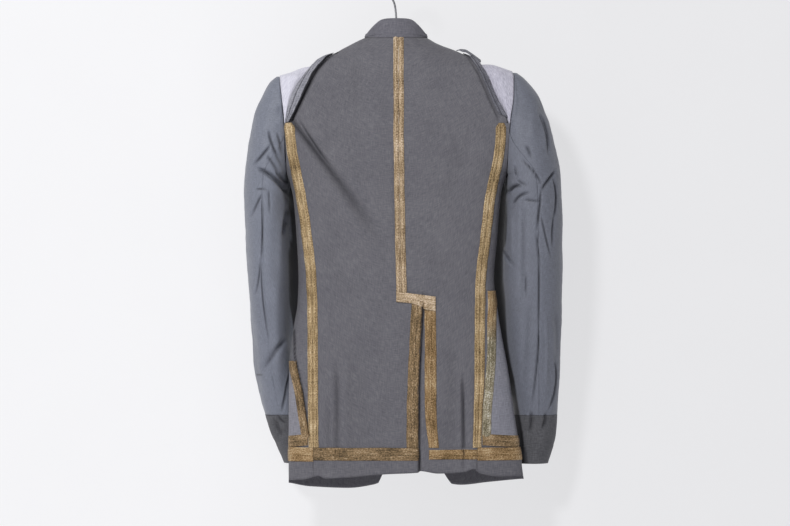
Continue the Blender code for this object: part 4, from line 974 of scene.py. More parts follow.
def make_jog_tape():
    v = rows_of(8)
    x = lerp(-1.0, 64.0, columns_of(26)) + 0 * v
    z = lerp(jog_top(x), jog_foot(x), v)
    lift = flap_lift(np.minimum(x, 43.0), z) * (1 - step(x, 43.0, 57.0))
    rise = 2.1 + 0.5 * crown(v) + 0.15 * ripples(x, z, 31, 18.0)
    return lay("jog_tape", x, z, rise, TAPE_GOLD, lift, turned=True)


def make_vent_tapes():
    return [
        laid("vent_tape_left", vent_left_from, slit_line, -545.0, TAPE_FOOT, TAPE_BROWN, 0.9, 1.6,
             seed=5, lift_of=flap_lift, columns=8),
        laid("vent_tape_right", vent_right_from, vent_right_to, -545.0, TAPE_FOOT, TAPE_ORANGE,
             0.9, 1.6, seed=6, columns=8),
    ]


def under_the_bag(z):
    """Outer edge of the right side tape, which the pocket bag covers low down."""
    free = BACK_SEAM[False](z) + TAPE
    return np.where(z < -640.0, np.minimum(free, BAG_EDGE[False](z) - 0.5), free)


def make_side_tapes():
    made = []
    for left in SIDES:
        name = side_name("side_tape", left)
        sign = SIGN[left]
        seam = BACK_SEAM[left]
        outside = shifted(seam, sign * TAPE) if left else under_the_bag
        made.append(laid(name + "_in", shifted(seam, sign * -0.1), shifted(seam, sign * -TAPE),
                         ARM_BACK, TAPE_FOOT, TAPE_SIDE, 0.9, 1.6, seed=7, point=0.55))
        made.append(laid(name + "_out", shifted(seam, sign * 0.1), outside, ARM_BACK, TAPE_FOOT,
                         TAPE_SIDE, 0.9, 1.6, seed=7, point=0.4))
    return made


# Bands along the hem: name, from x, to x, height of the top, height of the foot (0: the hem itself)
HEM_PIECES = [
    ("hem_turn_left", -137.4, 35, -783, 0, WOOL),
    ("hem_tape_left", -137.4, 34.6, -783, -804, TAPE_BROWN),
    ("hem_turn_right", 53, 132.4, -783, 0, WOOL),
    ("hem_tape_right", 53, 132.4, -786, -802, TAPE_ORANGE),
    ("hem_turn_side_left", -178, -137.6, -783, 0, WOOL),
    ("hem_tape_side_left", -178.2, -137.6, -783, -806, TAPE_ORANGE),
    ("hem_turn_side_right", 132.6, 206, -783, 0, WOOL),
    ("hem_tape_side_right", 132.6, 206, -783, -804, TAPE_ORANGE),
]
FLAP_END = 36.0


def make_hem_piece(name, x_from, x_to, top, foot, shade):
    tape = shade is not WOOL
    low, high = (1.9, 2.6) if tape else (0.9, 1.2)
    v = rows_of(12)
    x = lerp(x_from, x_to, columns_of(int(abs(x_to - x_from) / TAPE_ROW))) + 0 * v
    z = lerp(top, foot + 0 * x if foot else hem_back(x) + 0.3, v)
    z = z + 0.4 * ripples(x, 0 * x, 23, 70.0) * (1 - v)
    rise = lerp(low, high, crown(v)) + 0.15 * ripples(x, z, 24, 40.0)
    lift = flap_lift(x, z) if x_to < FLAP_END else 0.0
    return lay(name, x, z, rise, shade, lift, thick=0.7, turned=tape)


def make_pocket(left):
    """The bag, the tape down its edge and the tape across its foot."""
    sign = SIGN[left]
    top = -640.0 if left else -524.0
    edge = BAG_EDGE[left]
    tape_edge = shifted(edge, -11.0 if left else 14.5)

    def bag_end(z):
        return sign * (BODY_SIDE[left](z) - 0.3)

    bag = laid(side_name("pocket_bag", left), edge, bag_end, top, -780.0,
               POCKET_PALE if left else POCKET, 0.8, 1.0, seed=9, columns=14, wobble=0.0)
    tape = laid(side_name("pocket_tape", left), edge, tape_edge, top, -766.0,
                TAPE_BROWN if left else TAPE_OLIVE, 1.6, 2.3, seed=10, wobble=0.5)
    foot_from, foot_to = (-146.5, -178.0) if left else (141.0, 201.0)
    u = columns_of(24)
    v = rows_of(8)
    x = lerp(foot_from, foot_to, u) + 0 * v
    top_line = -760.0 - 4.0 * u
    z = lerp(top_line, top_line - 19.0, v)
    rise = 1.7 + 0.6 * crown(v) + 0.15 * ripples(x, z, 37, 20.0)
    return bag, tape, lay(side_name("pocket_hem_tape", left), x, z, rise, TAPE_BROWN, turned=True)


# Shoulders
def ridge_at(x, w, left):
    """The shoulder: w is 0 on the ridge, below 0 at the back, over 0 in front."""
    z = shoulder_height(left, np.abs(x)) - RIDGE_DROP * w * w
    b = np.where(w < 0, body_back(z), body_front(z))
    a = BODY_SIDE[left](z)
    n = body_square(z)
    depth = b * np.maximum(1.0 - np.minimum(np.abs(x) / a, 1.0) ** n, 0.0) ** (1.0 / n)
    return np.stack([x, np.where(w < 0, -depth, depth), z], axis=-1)


def oriented(name, points, away, outer, inner, shade, shade_marks=0.0):
    """Cloth with its outer face looking away from a point."""
    side = np.gradient(points, axis=1)
    down = np.gradient(points, axis=0)
    normals = unit(np.cross(down, side))
    grids = [points, normals] + [np.broadcast_to(part, points.shape[:2]) for part in (outer, inner, shade_marks)]
    if ((points - np.asarray(away)) * normals).sum() < 0:
        grids = flipped(points, -normals, *grids[2:])
    points, normals, outer, inner, shade_marks = grids
    return cloth(name, points, normals, outer, inner, shade, shade_marks=shade_marks)


# Shares of the width of a strip: its two sewn rows, its inner and its outer edge
STRIP_ROWS = (0.3, 0.68)
STRIP_FROM = 0.03
STRIP_TO = 0.97


def strip_rise(w, s, left):
    """How far the strip stands off: most along its inner edge, less on the ridge."""
    low, high = (1.6, 3.6) if left else (1.4, 2.4)
    inner = lerp(low, high, step(np.abs(w), 0.0, 0.25))
    rise = lerp(inner, low, s) + 0.6 * np.sin(PI * s)
    # Two sewn rows press the strip down, and the cloth swells between them.
    for row in STRIP_ROWS:
        rise = rise - 0.7 * np.exp(-((s - row) / 0.06) ** 2)
    return rise


def make_arm_strip(left):
    reach = 0.825 if left else 0.815
    w = np.linspace(-reach, reach, 181)[:, None]
    s = columns_of(30)
    wavy = 0.045 * ripples(w * 120, 0 * w, 41, 60.0) + 0.02 * ripples(w * 120, 0 * w, 43, 14.0)
    x = strip_edge(w, left, lerp(STRIP_FROM, STRIP_TO, s) + wavy)
    points = ridge_at(x, w + 0 * s, left)
    rise = strip_rise(w, s, left) + 0.28 * ripples(w * 120, s * 16, 42, 16.0)
    # A line of dark stitching runs down the strip, drawn with the painted shade colour, and shade is
    # painted along its inner edge.
    sewn = 1.1 * np.exp(-((s - (0.62 if left else 0.4)) / 0.055) ** 2)
    shade_marks = np.maximum(sewn, 0.9 * (1 - step(s, 0.0, 0.08))) + 0 * w
    return oriented(side_name("arm_strip", left), points, (SIGN[left] * 120.0, 0.0, -230.0), rise,
                    rise - 1.0, STRIP_CLOTH if left else STRIP_DARK, shade_marks)


LOOP = [(99, -126.2), (106, -123.6), (113, -124.2), (122, -129), (131, -135.4),
        (139, -141.4)]
loop_height = smooth_table(LOOP, 1)


def make_loop():
    s = columns_of(6)
    x = lerp(99.0, 139.0, rows_of(32)) + 0 * s
    y = lerp(-9.0, 3.0, s) + 0 * x
    # The strip is turned towards the back, so that its width shows from there.
    drop = lerp(4.2, 0.0, s) * step(x, 99.0, 110.0)
    points = np.stack([x, y, loop_height(x) - drop + 0.3 * np.sin(s * PI)], axis=-1)
    return oriented("strip_loop_right", points, (110.0, 0.0, -200.0), 0.6, -0.6, STRIP_DARK)


def make_pad(left):
    sign = SIGN[left]
    reach = 0.86
    w = np.linspace(-reach, reach, 85)[:, None]
    s = columns_of(30)
    z = shoulder_height(left, 190.0) - RIDGE_DROP * w * w
    x_out = ARM_X[left](z) - sign * 0.6
    x_in = strip_edge(w, left, np.minimum(1.6 * w * w, 1.0)) + sign * -14.0 * (1 - w * w)
    x = lerp(x_in, x_out, s)
    x = sign * np.maximum(sign * x, 60.0)
    points = ridge_at(x, w + 0 * s, left)
    inside = -13.0 if left else -8.0
    rise = lerp(inside, 0.4, step(s, 0.32, 0.72)) + 0.4 * ripples(x, w * 120, 47, 40.0) * (1 - s)
    return oriented(side_name("pad", left), points, (sign * 120.0, 0.0, -230.0), rise, rise - 3.5,
                    PAD_LEFT if left else PAD_RIGHT)


# Sleeves
# Height, outer x, middle x, inner x, back y, front y
SLEEVE_LEFT = [
    (-169, 199, 194.2, 194, -1, 1),
    (-178, 210, 195, 193, -1, 1),
    (-203, 224, 198, 190, -35, 38),
    (-225, 234, 201.5, 188, -41, 48),
    (-247, 239.5, 205, 186, -47, 55),
    (-291, 247, 211, 184, -53, 64),
    (-331, 252.5, 215, 182.6, -56, 70),
    (-350, 253.3, 216.5, 183.6, -56.5, 74),
    (-375, 253.5, 217.5, 182, -56, 78),
    (-438, 251, 216.5, 181, -53, 86),
    (-502, 247.5, 214.5, 180, -46, 91),
    (-544, 244.5, 212.5, 180, -38, 96),
    (-600, 241.5, 208.5, 178, -20, 105),
    (-656, 237.6, 203.5, 170, 0, 115),
    (-700, 228.5, 195.5, 163, 14, 123),
    (-750, 214.5, 182.5, 150, 29, 130),
    (-809, 189.5, 158.5, 127, 42, 137),
]
SLEEVE_RIGHT = [
    (-163, 199, 191.5, 191, -1, 1),
    (-172, 211, 195.5, 194, -1, 1),
    (-203, 236, 200, 193, -36, 38),
    (-225, 244.5, 204, 190, -42, 48),
    (-247, 253.5, 209, 187.5, -47, 55),
    (-291, 264.5, 218, 184, -52, 63),
    (-331, 271.5, 223, 182.1, -54, 68),
    (-350, 273, 225, 182, -54, 71),
    (-375, 274, 226.5, 180.8, -53, 74),
    (-438, 275.5, 227, 178, -49, 79),
    (-502, 275.2, 227.5, 177, -41, 84),
    (-544, 274.7, 228, 179.5, -33, 88),
    (-600, 273.5, 228.5, 183.5, -20, 95),
    (-656, 272, 229.5, 188, -6, 102),
    (-718, 268.5, 231, 194, 7, 110),
    (-762, 266, 231.5, 197, 15, 114),
    (-809, 253, 226, 198, 24, 117),
]
SLEEVE_SQUARE = 2.15
SLEEVE_TOPS = {True: -169.4, False: -163.2}
HIND_TOP = -262.0
SLEEVE_END = -731.0
CUFF_END = -809.0
SLEEVE = {True: [smooth_table(SLEEVE_LEFT, k) for k in range(1, 6)],
          False: [smooth_table(SLEEVE_RIGHT, k) for k in range(1, 6)]}

# Creases of the sleeves, in the same columns as those of the back
SLEEVE_CREASES = [
    (-211, -258, -204, -286, -183, -326, 1.7, 2.2, -3.6, 1),
    (-207, -283, -224, -303, -238, -318, 1.7, 2.2, -4.4, 1.2),
    (-197, -262, -192, -282, -186, -300, 1.6, 1.8, -2.6, 0.8),
    (-232, -322, -203, -337, -177, -365, 2.2, 5, -10, 2.4),
    (-200, -326, -190, -337, -180, -347, 1.7, 2.2, -5, 1.2),
    (-214, -300, -204, -314, -190, -333, 2, 2.4, -2.6, 0.9),
    (-176, -378, -183, -405, -189, -436, 3.6, 2, -9, 1.4),
    (-186, -352, -180, -366, -175, -384, 4, 4, -7, 1.2),
    (-222, -364, -221.5, -430, -225, -490, 1.3, 1.3, -3.6, 0.9),
    (-225, -472, -228, -505, -235, -536, 1.3, 1.4, -3, 0.6),
    (-223, -474, -221, -540, -209, -620, 1.2, 1.3, -2.8, 0.6),
    (-222, -365, -231, -382, -243, -408, 1.4, 1.8, -3.4, 0.9),
    (-233, -357, -222, -356, -211, -357.5, 1.3, 1.3, -2.4, 0.6),
    (-210.5, -356, -210, -378, -209.4, -399, 1.3, 1.3, -2.2, 0.5),
    (-184, -603, -204, -630, -228, -664, 4.5, 4.5, -4.6, 1.2),
    (-175, -648, -184.5, -696, -192, -730, 1.6, 1.8, -4.4, 0.9),
    (-236, -664, -228, -664, -219, -663, 1.5, 1.5, -2, 0.5),
    (-232, -200, -226, -260, -224, -330, 14, 18, 1.6, 0),
    (-242, -560, -236, -640, -222, -730, 7, 8, -2, 0.6),
    (-198, -500, -198, -600, -194, -720, 8, 8, 1.8, 0),
    (-236, -430, -234, -500, -238, -600, 7, 8, 1.4, 0),
    (-195, -400, -193, -460, -192, -540, 5, 6, 1.6, 0),
    (-203, -738, -196, -756, -188, -768, 5, 6, -5, 1.4),
    (-198, -730, -190, -741, -180, -744, 2.6, 2.6, -3, 0.8),
    (236, -230, 248, -264, 250, -308, 1.9, 2.2, -5, 1.2),
    (263, -325, 249, -343, 238, -361, 1.8, 2.4, -5.6, 1.4),
    (238.5, -357, 234, -398, 230, -432, 1.6, 1.4, -4.4, 1),
    (230, -425, 233, -456, 238, -490, 1.3, 1.3, -3.2, 0.7),
    (235, -470, 235, -530, 235, -600, 1.2, 1.2, -4.2, 0.9),
    (235, -585, 232, -650, 220.5, -742, 1.2, 1.6, -4.6, 1),
    (257, -334, 263, -372, 257, -414, 1.5, 1.5, -4.4, 1),
    (259.5, -400, 256.5, -430, 258, -456, 1.5, 1.4, -3, 0.7),
    (203, -306, 226, -328, 241, -352, 1.4, 1.6, -3.4, 0.8),
    (183, -364, 193, -352, 207, -352, 2.6, 1.8, -10, 1.8),
    (198, -340, 206, -346, 216, -352, 1.5, 1.5, -3.2, 0.8),
    (190, -386, 203, -367, 223, -363, 2, 2, -5.4, 1.6),
    (210, -374, 224, -375, 238, -376, 1.4, 1.4, -3.6, 0.9),
    (194, -318, 196, -329, 199, -340, 1.5, 1.5, -3.4, 0.8),
    (213, -284, 218, -294, 222, -306, 2.2, 2.2, -2.4, 0.9),
    (175, -455, 184, -469, 195, -487, 2, 2, -6, 1.4),
    (238, -396, 247, -441, 257, -476, 1.4, 1.5, -2.6, 0.6),
    (207, -380, 208, -460, 206, -560, 3.6, 4.4, -2.4, 0.9),
    (212, -494, 212.5, -515, 213, -538, 1.8, 1.8, -2.2, 0.6),
    (261.4, -638, 264, -682, 248, -732, 1.4, 1.7, -4.6, 1.2),
    (247, -560, 249, -640, 246, -700, 2.6, 3, 1.8, 0),
    (219, -540, 215, -620, 206, -710, 6, 7, -2.2, 0.6),
    (190, -400, 191, -440, 190, -500, 4, 4, 1.8, 0),
    (222, -724, 223, -745, 217, -764, 2.8, 3.6, -5, 1.4),
    (247, -726, 246, -742, 240, -756, 2.4, 2.6, -4, 1),
    (262, -560, 266, -600, 264, -650, 4, 4, -1.8, 0.5),
    (244, -200, 240, -240, 234, -280, 8, 9, -1.8, 0),
    (222, -222, 224, -250, 222, -284, 5, 6, 1.4, 0),
]

# The bulge below the armhole: size and depth below the hook where it ends, for each sleeve
BULGE = {True: (27.0, 640.0), False: (25.0, 720.0)}
BULGE_FADE = 80.0
BULGE_Y = 48.0
BULGE_WIDE = 19.0


def sleeve_frame(z, left):
    """Middle, centre y and half depth of the ring, with the body's y at the armhole."""
    back_of, front_of = SLEEVE[left][3:]
    high = z > ARM_LOW
    y_back = body_at(z, arm_angle(z, left, True), fine=False)[..., 1]
    y_front = body_at(z, arm_angle(z, left, False), fine=False)[..., 1]
    back_y = np.where(high, np.minimum(back_of(z), y_back * 1.03), back_of(z))
    front_y = np.where(high, np.maximum(front_of(z), y_front * 1.03), front_of(z))
    return high, y_back, y_front, 0.5 * (back_y + front_y), 0.5 * (front_y - back_y)


def sleeve_at(z, phi, left, fine=True):
    """phi 0 is the side away from the body, -pi/2 the back, pi the side by the body."""
    z, phi = np.broadcast_arrays(np.asarray(z, dtype=float), phi)
    outer_of, middle_of, inner_of = SLEEVE[left][:3]
    sign = SIGN[left]
    middle = middle_of(z)
    high, y_back, y_front, centre, depth = sleeve_frame(z, left)
    is_back = np.sin(phi) < 0
    arm_x = np.abs(ARM_X[left](z)) + ARM_GAP
    eta = np.minimum(np.abs(np.where(is_back, y_back, y_front) - centre) / depth, 0.995)
    reach = (1.0 - eta ** SLEEVE_SQUARE) ** (1.0 / SLEEVE_SQUARE)
    cut = np.maximum((middle - arm_x) / reach, 0.05)
    inner = np.where(high, cut, middle - inner_of(z))
    half = np.where(np.cos(phi) >= 0, outer_of(z) - middle, inner)
    x, y, nx, ny = superring(half, depth, SLEEVE_SQUARE, phi)
    world_x = sign * (middle + x)
    out = crease_height(SLEEVE_CREASES, world_x, z) * is_back * step(np.abs(y), 3.0, 18.0)
    if fine:
        round_way = phi * 42.0
        out = out + 0.55 * ripples(round_way, z * 0.7, 61 + left, 70.0) * step(-z, 180.0, 230.0)
        out = out + 0.2 * ripples(round_way, z, 63 + left, 24.0) * step(-z, 180.0, 230.0)
    deep = centre + y + ny * out
    # Below the armhole the sleeve bulges in behind the body and closes the gap between them.
    size, last = BULGE[left]
    amount = size * step(-z, 314.0, 332.0) * (1 - step(-z, last - BULGE_FADE, last))
    bulge = amount * np.exp(-((deep - BULGE_Y) / BULGE_WIDE) ** 2) * (np.cos(phi) < 0)
    return np.stack([sign * (middle + x + nx * out - bulge), deep, z + 0 * x], axis=-1)


def sleeve_normal(z, phi, left):
    side = sleeve_at(z, phi + NEAR_TURN, left) - sleeve_at(z, phi - NEAR_TURN, left)
    down = sleeve_at(z - NEAR_HEIGHT, phi, left) - sleeve_at(z + NEAR_HEIGHT, phi, left)
    normal = unit(np.cross(down, side))
    return -normal if left else normal


def sleeve_arm_phi(z, left, back):
    """Where the sleeve ring meets the armhole."""
    high, y_back, y_front, centre, depth = sleeve_frame(z, left)
    y = y_back if back else y_front
    eta = np.minimum(np.abs(y - centre) / depth, 0.995)
    inside = (np.abs(y) < 1e-6) | ((y - centre) * (-1 if back else 1) < 0)
    rise = np.arcsin(eta ** (SLEEVE_SQUARE / 2.0))
    phi = np.where(inside, PI + rise, PI - rise)
    return -phi if back else phi


def seam_phi(z, left, back):
    level = math.radians(83.0 if back else 97.0)
    start = abs(float(sleeve_arm_phi(np.array([HIND_TOP]), left, back)[0]))
    phi = lerp(start, level, step(-z, -HIND_TOP, 335.0))
    return -phi if back else phi


# Where shade is painted on the sleeves in the gaps beside the body: height, left x, right x
GAPS = [
    (-300, 160, 160),
    (-340, 172, 178),
    (-366, 178.5, 180),
    (-384, 179, 181),
    (-402, 176.5, 181.5),
    (-420, 174, 181),
    (-440, 176, 180),
    (-465, 179, 175),
    (-500, 178.5, 175.5),
    (-540, 177.5, 179),
    (-572, 173, 180.5),
    (-605, 168.5, 182.5),
    (-638, 166, 186.5),
    (-671, 166, 194),
    (-704, 166, 198.5),
    (-737, 166, 204.5),
    (-770, 166, 209.5),
    (-812, 166, 212),
]
GAP_EDGE = both_sides(GAPS, 1, 2)


def sleeve_cloth(name, z, phi, left, outer, thick, shade, ring=False):
    points = sleeve_at(z, phi, left)
    normals = sleeve_normal(z, phi, left)
    outer = outer + np.zeros(points.shape[:2])
    x = points[..., 0]
    # Painted shade in the sleeve's creases and in the gaps beside the body
    creases = crease_height(SLEEVE_CREASES, x, z, shade_marks=True) * (points[..., 1] < 60.0)
    gap = GAP_DARK * step(GAP_EDGE[left](z) - np.abs(x), -2.5, 0.5) * step(-z, 332.0, 356.0)
    gap = gap * (1 - step(points[..., 1], 46.0, 60.0))
    shade_marks = np.maximum(creases, gap)
    if left:
        points, normals, outer, shade_marks = flipped(points, normals, outer, shade_marks)
    return cloth(name, points, normals, outer, outer - thick, shade, ring=ring, shade_marks=shade_marks)


def shared_columns(*parts):
    """Shares from 0 to 1 in stretches, each given as its count of columns and its share."""
    shares = [0.0]
    for count, share in parts:
        shares += [shares[-1] + share * (k + 1) / count for k in range(count)]
        shares[-1] = round(shares[-1], 9)
    return np.array(shares)[None, :]


def make_sleeve_top(left):
    """From the hind seam round the outer side to the fore seam, fine where it shows."""
    v = rows_of(310)
    u = shared_columns((70, 0.5), (20, 0.5))
    z = lerp(SLEEVE_TOPS[left], SLEEVE_END, v)
    back, front = (np.where(z >= HIND_TOP, sleeve_arm_phi(z, left, end), seam_phi(z, left, end))
                   for end in (True, False))
    # The seam allowance inside the armhole edge stands up as a low roll.
    edge = np.minimum(u, 1 - u) * 95.0
    roll = 1.5 * np.exp(-((edge - 3.0) / 2.2) ** 2)
    roll = roll * (1 - step(-z, 238.0, 262.0)) * step(-z, 168.0, 182.0)
    return sleeve_cloth(side_name("sleeve_top", left), z + 0 * u, lerp(back, front, u), left, roll,
                        0.9, LINING if left else LINING_RIGHT)


def make_sleeve_under(left):
    """From the hind seam round the side by the body to the fore seam."""
    v = rows_of(240)
    t = shared_columns((38, 0.5), (18, 0.5))
    top = HIND_TOP + (ARM_LOW - HIND_TOP) * np.sin(PI * t) ** 0.8
    z = lerp(top, SLEEVE_END, v)

    def ends(height):
        return 2 * PI + seam_phi(height, left, True), seam_phi(height, left, False)

    back_top, front_top = ends(top)
    arm = np.where(t <= 0.5, 2 * PI + sleeve_arm_phi(top, left, True), sleeve_arm_phi(top, left, False))
    top_share = np.clip((arm - back_top) / (front_top - back_top), 0.0, 1.0)
    held = np.maximum(1 - v * 2.4, 0.0) ** 2
    share = t + (top_share - t) * held
    back, front = ends(z)
    phi = lerp(back, front, share)[:, ::-1]
    return sleeve_cloth(side_name("sleeve_under", left), z[:, ::-1], phi, left, 0.0, 0.9,
                        LINING if left else LINING_RIGHT)


def make_cuff(left):
    u = columns_of(130)
    z = lerp(SLEEVE_END - 0.3, CUFF_END - 3.0, rows_of(36)) + 0 * u
    # The turned end of the cuff shows as a low step 26 mm above its edge.
    hem = 0.5 * step(-z, 780.0, 783.0)
    return sleeve_cloth(side_name("cuff", left), z, 2 * PI * u + 0 * z, left, 0.2 + hem, 1.2, CUFF,
                        ring=True)


# Collar: degrees from the centre back, height of its base, height of the stand
COLLAR = [
    (0, -104.4, 29.2), (15, -104.4, 29), (30, -104.4, 27.4), (45, -104.4, 20.5),
    (60, -104.4, 12), (75, -104.4, 6), (92, -104.4, 5), (110, -112, 11),
    (125, -122, 20),
]
collar_base = smooth_table(COLLAR, 1)
collar_rise = smooth_table(COLLAR, 2)
# Section of the collar: share of the way, distance out, share of the height
COLLAR_SECTION = [
    (0, -1, 0), (0.25, -1.2, 0.50), (0.42, -0.8, 0.90), (0.50, 1.9, 1),
    (0.58, 4.2, 0.90), (0.75, 3.6, 0.50), (0.86, 3.1, 0.17), (0.90, 2.3, 0.13), (1, 2.3, -0.04),
]
collar_out = smooth_table(COLLAR_SECTION, 1)
collar_up = smooth_table(COLLAR_SECTION, 2)


def make_collar():
    v = rows_of(48)
    degrees = lerp(-122.0, 122.0, columns_of(160)) + 0 * v
    theta = np.radians(degrees)
    half = np.where(degrees < 0, 50.0, 47.5)
    y = np.where(np.abs(degrees) <= 90, -42.5, -34.0) * np.cos(theta)
    lean = 1.0 - 0.07 * collar_up(v)
    out = collar_out(v) + 0.35 * ripples(degrees * 0.8, v * 30, 71, 60.0)
    turn = np.abs(degrees)
    z = collar_base(turn) + collar_rise(turn) * collar_up(v)
    points = np.stack([half * np.sin(theta) * lean + out * np.sin(theta),
                       y * lean - out * np.cos(theta), z], axis=-1)
    side = np.gradient(points, axis=1)
    down = np.gradient(points, axis=0)
    normals = unit(np.cross(side, down))
    points, normals = flipped(points, normals)
    return cloth("collar", points, normals, 0.0, -1.3, WOOL_EDGE)


# Lapels: height, width
LAPEL = [(-152, 58), (-175, 68), (-200, 74), (-260, 60), (-340, 36), (-420, 10)]
lapel_width = smooth_table(LAPEL, 1)


def make_lapel(left):
    u = columns_of(24)
    v = rows_of(80)
    z = lerp(-152.0, -420.0, v) + 0 * u
    x = FRONT_EDGES[left](z) + SIGN[left] * (1.0 + lapel_width(z) * u)
    z = z - 16.0 * (1 - v) * u
    angle = angle_at_x(x, z, False)
    points = body_at(z, angle, front_lift(x, left))
    normals = body_normal(z, angle)
    if left:
        points, normals = flipped(points, normals)
    inner = 1.9 if left else 1.1
    return cloth(side_name("lapel", left), points, normals, inner + 1.4, inner, WOOL)


# The hook and the buttons
WIRE_R = 1.7
CROWN = 18.0


def make_hook():
    path = [(0.0, -95.4), (-0.2, -86.0), (-0.6, -75.0), (-1.6, -62.0), (-2.8, -51.0), (-6.0, -41.5)]
    radius = CROWN + WIRE_R
    for k in range(15):
        a = math.radians(222.0 - 252.0 * k / 14)
        path.append((radius * math.cos(a), -CROWN + radius * math.sin(a)))
    curve = bpy.data.curves.new("hook_wire", "CURVE")
    curve.dimensions = "3D"
    spline = curve.splines.new("NURBS")
    spline.points.add(len(path) - 1)
    for point, (x, z) in zip(spline.points, path):
        point.co = (x * MM, 0.0, z * MM, 1.0)
    spline.use_endpoint_u = True
    spline.order_u = 4
    spline.resolution_u = 6
    curve.bevel_depth = WIRE_R * MM
    curve.bevel_resolution = 5
    curve.use_fill_caps = True
    return link("hook_wire", smooth_mesh(curve, "hook_wire_mesh"), WIRE)


def smooth_mesh(curve, name, sewing=None):
    """The mesh that a curve makes, with or without a node tree, without the curve itself."""
    rough = bpy.data.objects.new(name + "_path", curve)
    bpy.context.scene.collection.objects.link(rough)
    if sewing:
        sewing(rough)
    graph = bpy.context.evaluated_depsgraph_get()
    mesh = bpy.data.meshes.new_from_object(rough.evaluated_get(graph))
    mesh.name = name
    mesh.materials.clear()
    mesh.polygons.foreach_set("use_smooth", np.ones(len(mesh.polygons), dtype=bool))
    bpy.data.objects.remove(rough)
    return mesh


AROUND = 48


def spun(name, profile, centre, axis, shade):
    """A turned form: radius and height pairs round an axis, Y or Z."""
    verts = []
    for radius, height in profile:
        for k in range(AROUND):
            a = 2 * PI * k / AROUND
            one = radius * math.cos(a)
            two = radius * math.sin(a)
            place = (one, height, two) if axis == "Y" else (one, two, height)
            verts.append([(p + c) * MM for p, c in zip(place, centre)])
    faces = []
    for start in range(0, (len(profile) - 1) * AROUND, AROUND):
        for k in range(AROUND):
            n = (k + 1) % AROUND
            faces.append((start + k, start + n, start + AROUND + n, start + AROUND + k))
    faces.append(tuple(reversed(range(AROUND))))
    faces.append(tuple(range((len(profile) - 1) * AROUND, len(profile) * AROUND)))
    if axis == "Y":
        faces = [tuple(reversed(f)) for f in faces]
    mesh = bpy.data.meshes.new(name)
    mesh.from_pydata(verts, [], faces)
    mesh.update()
    for polygon in mesh.polygons:
        polygon.use_smooth = len(polygon.vertices) == 4
    return link(name, mesh, shade)


BUTTON = [(5, 0), (9.2, 0.4), (9.6, 1.2), (9.6, 2.2), (9.2, 2.9), (8.4, 3.1), (7.4, 2.6),
          (6.4, 2.3), (3, 2.2)]


def make_button(number, z):
    angle = angle_at_x(0.01, z, False)
    y = float(body_at(np.array([z]), np.array([float(angle)]), fine=False)[0][1]) + 3.0
    return spun("button_%d_turned" % number, BUTTON, (0.0, y, z), "Y", HORN)


def make_ferrule():
    profile = [(2.2, -95.6), (4.4, -95.6), (4.6, -95.0), (4.6, -91.0), (4.3, -90.4), (4.3, -89.4),
               (4.6, -88.8), (4.5, -88.0), (2.2, -88.0)]
    return spun("ferrule_turned", profile, (0.0, 0.0, 0.0), "Z", WIRE)


# Stitches
def stitch_tree():
    """Stitches along curves: pitch, length and thickness are inputs in metres."""
    tree = bpy.data.node_groups.new("row_of_stitches", "GeometryNodeTree")
    face = tree.interface
    face.new_socket("Geometry", in_out="INPUT", socket_type="NodeSocketGeometry")
    for name, value in (("Pitch", 0.003), ("Length", 0.0022), ("Thickness", 0.0003)):
        face.new_socket(name, in_out="INPUT", socket_type="NodeSocketFloat").default_value = value
    face.new_socket("Thread", in_out="INPUT", socket_type="NodeSocketMaterial")
    face.new_socket("Geometry", in_out="OUTPUT", socket_type="NodeSocketGeometry")
    start = add(tree, "NodeGroupInput").outputs
    points = add(tree, "GeometryNodeCurveToPoints", {"mode": "LENGTH"}, Curve=start["Geometry"],
                 Length=start["Pitch"]).outputs
    bead = add(tree, "GeometryNodeMeshIcoSphere", Subdivisions=1, Radius=1.0).outputs["Mesh"]
    half = sums(tree, "MULTIPLY", start["Length"], 0.5)
    size = add(tree, "CombineXYZ", X=start["Thickness"], Y=start["Thickness"], Z=half).outputs[0]
    place = add(tree, "GeometryNodeInstanceOnPoints", Points=points["Points"], Instance=bead,
                Rotation=points["Rotation"], Scale=size).outputs["Instances"]
    real = add(tree, "GeometryNodeRealizeInstances", Geometry=place).outputs["Geometry"]
    shade = add(tree, "GeometryNodeSetMaterial", Geometry=real, Material=start["Thread"])
    add(tree, "NodeGroupOutput", Geometry=shade.outputs["Geometry"])
    return tree


STITCH_TREE = stitch_tree()
STITCH_STEP = 3.0


def stitches(name, paths, pitch, length, thickness, shade):
    """Rows of stitches along lists of points in millimetres."""
    curve = bpy.data.curves.new(name, "CURVE")
    curve.dimensions = "3D"
    for path in paths:
        spline = curve.splines.new("POLY")
        spline.points.add(len(path) - 1)
        flat = np.concatenate([np.asarray(path) * MM, np.ones((len(path), 1))], axis=1)
        spline.points.foreach_set("co", flat.ravel())
    values = {"Pitch": pitch * MM, "Length": length * MM, "Thickness": thickness * MM,
              "Thread": shade}

    def sew(rough):
        sewing = rough.modifiers.new("stitches", "NODES")
        sewing.node_group = STITCH_TREE
        for item in STITCH_TREE.interface.items_tree:
            if item.in_out == "INPUT" and item.name in values:
                sewing[item.identifier] = values[item.name]

    return link(name, smooth_mesh(curve, name, sew), shade)


def off_back(x, z, out, lift_of):
    """Points at these places of the back, held off the cloth."""
    angle = angle_at_x(x, z)
    lift = lift_of(x, z) if lift_of else 0.0
    return body_at(z, angle, lift) + body_normal(z, angle) * out


def on_back(line, top, foot, out, lift_of=None):
    """Points down the back along a line x(z)."""
    z = np.linspace(top, foot, int(abs(top - foot) / STITCH_STEP))
    return off_back(line(z), z, out, lift_of)


def across_back(x0, x1, height, out, lift_of=None):
    x = np.linspace(x0, x1, int(abs(x1 - x0) / STITCH_STEP))
    return off_back(x, np.full(x.shape, height), out, lift_of)


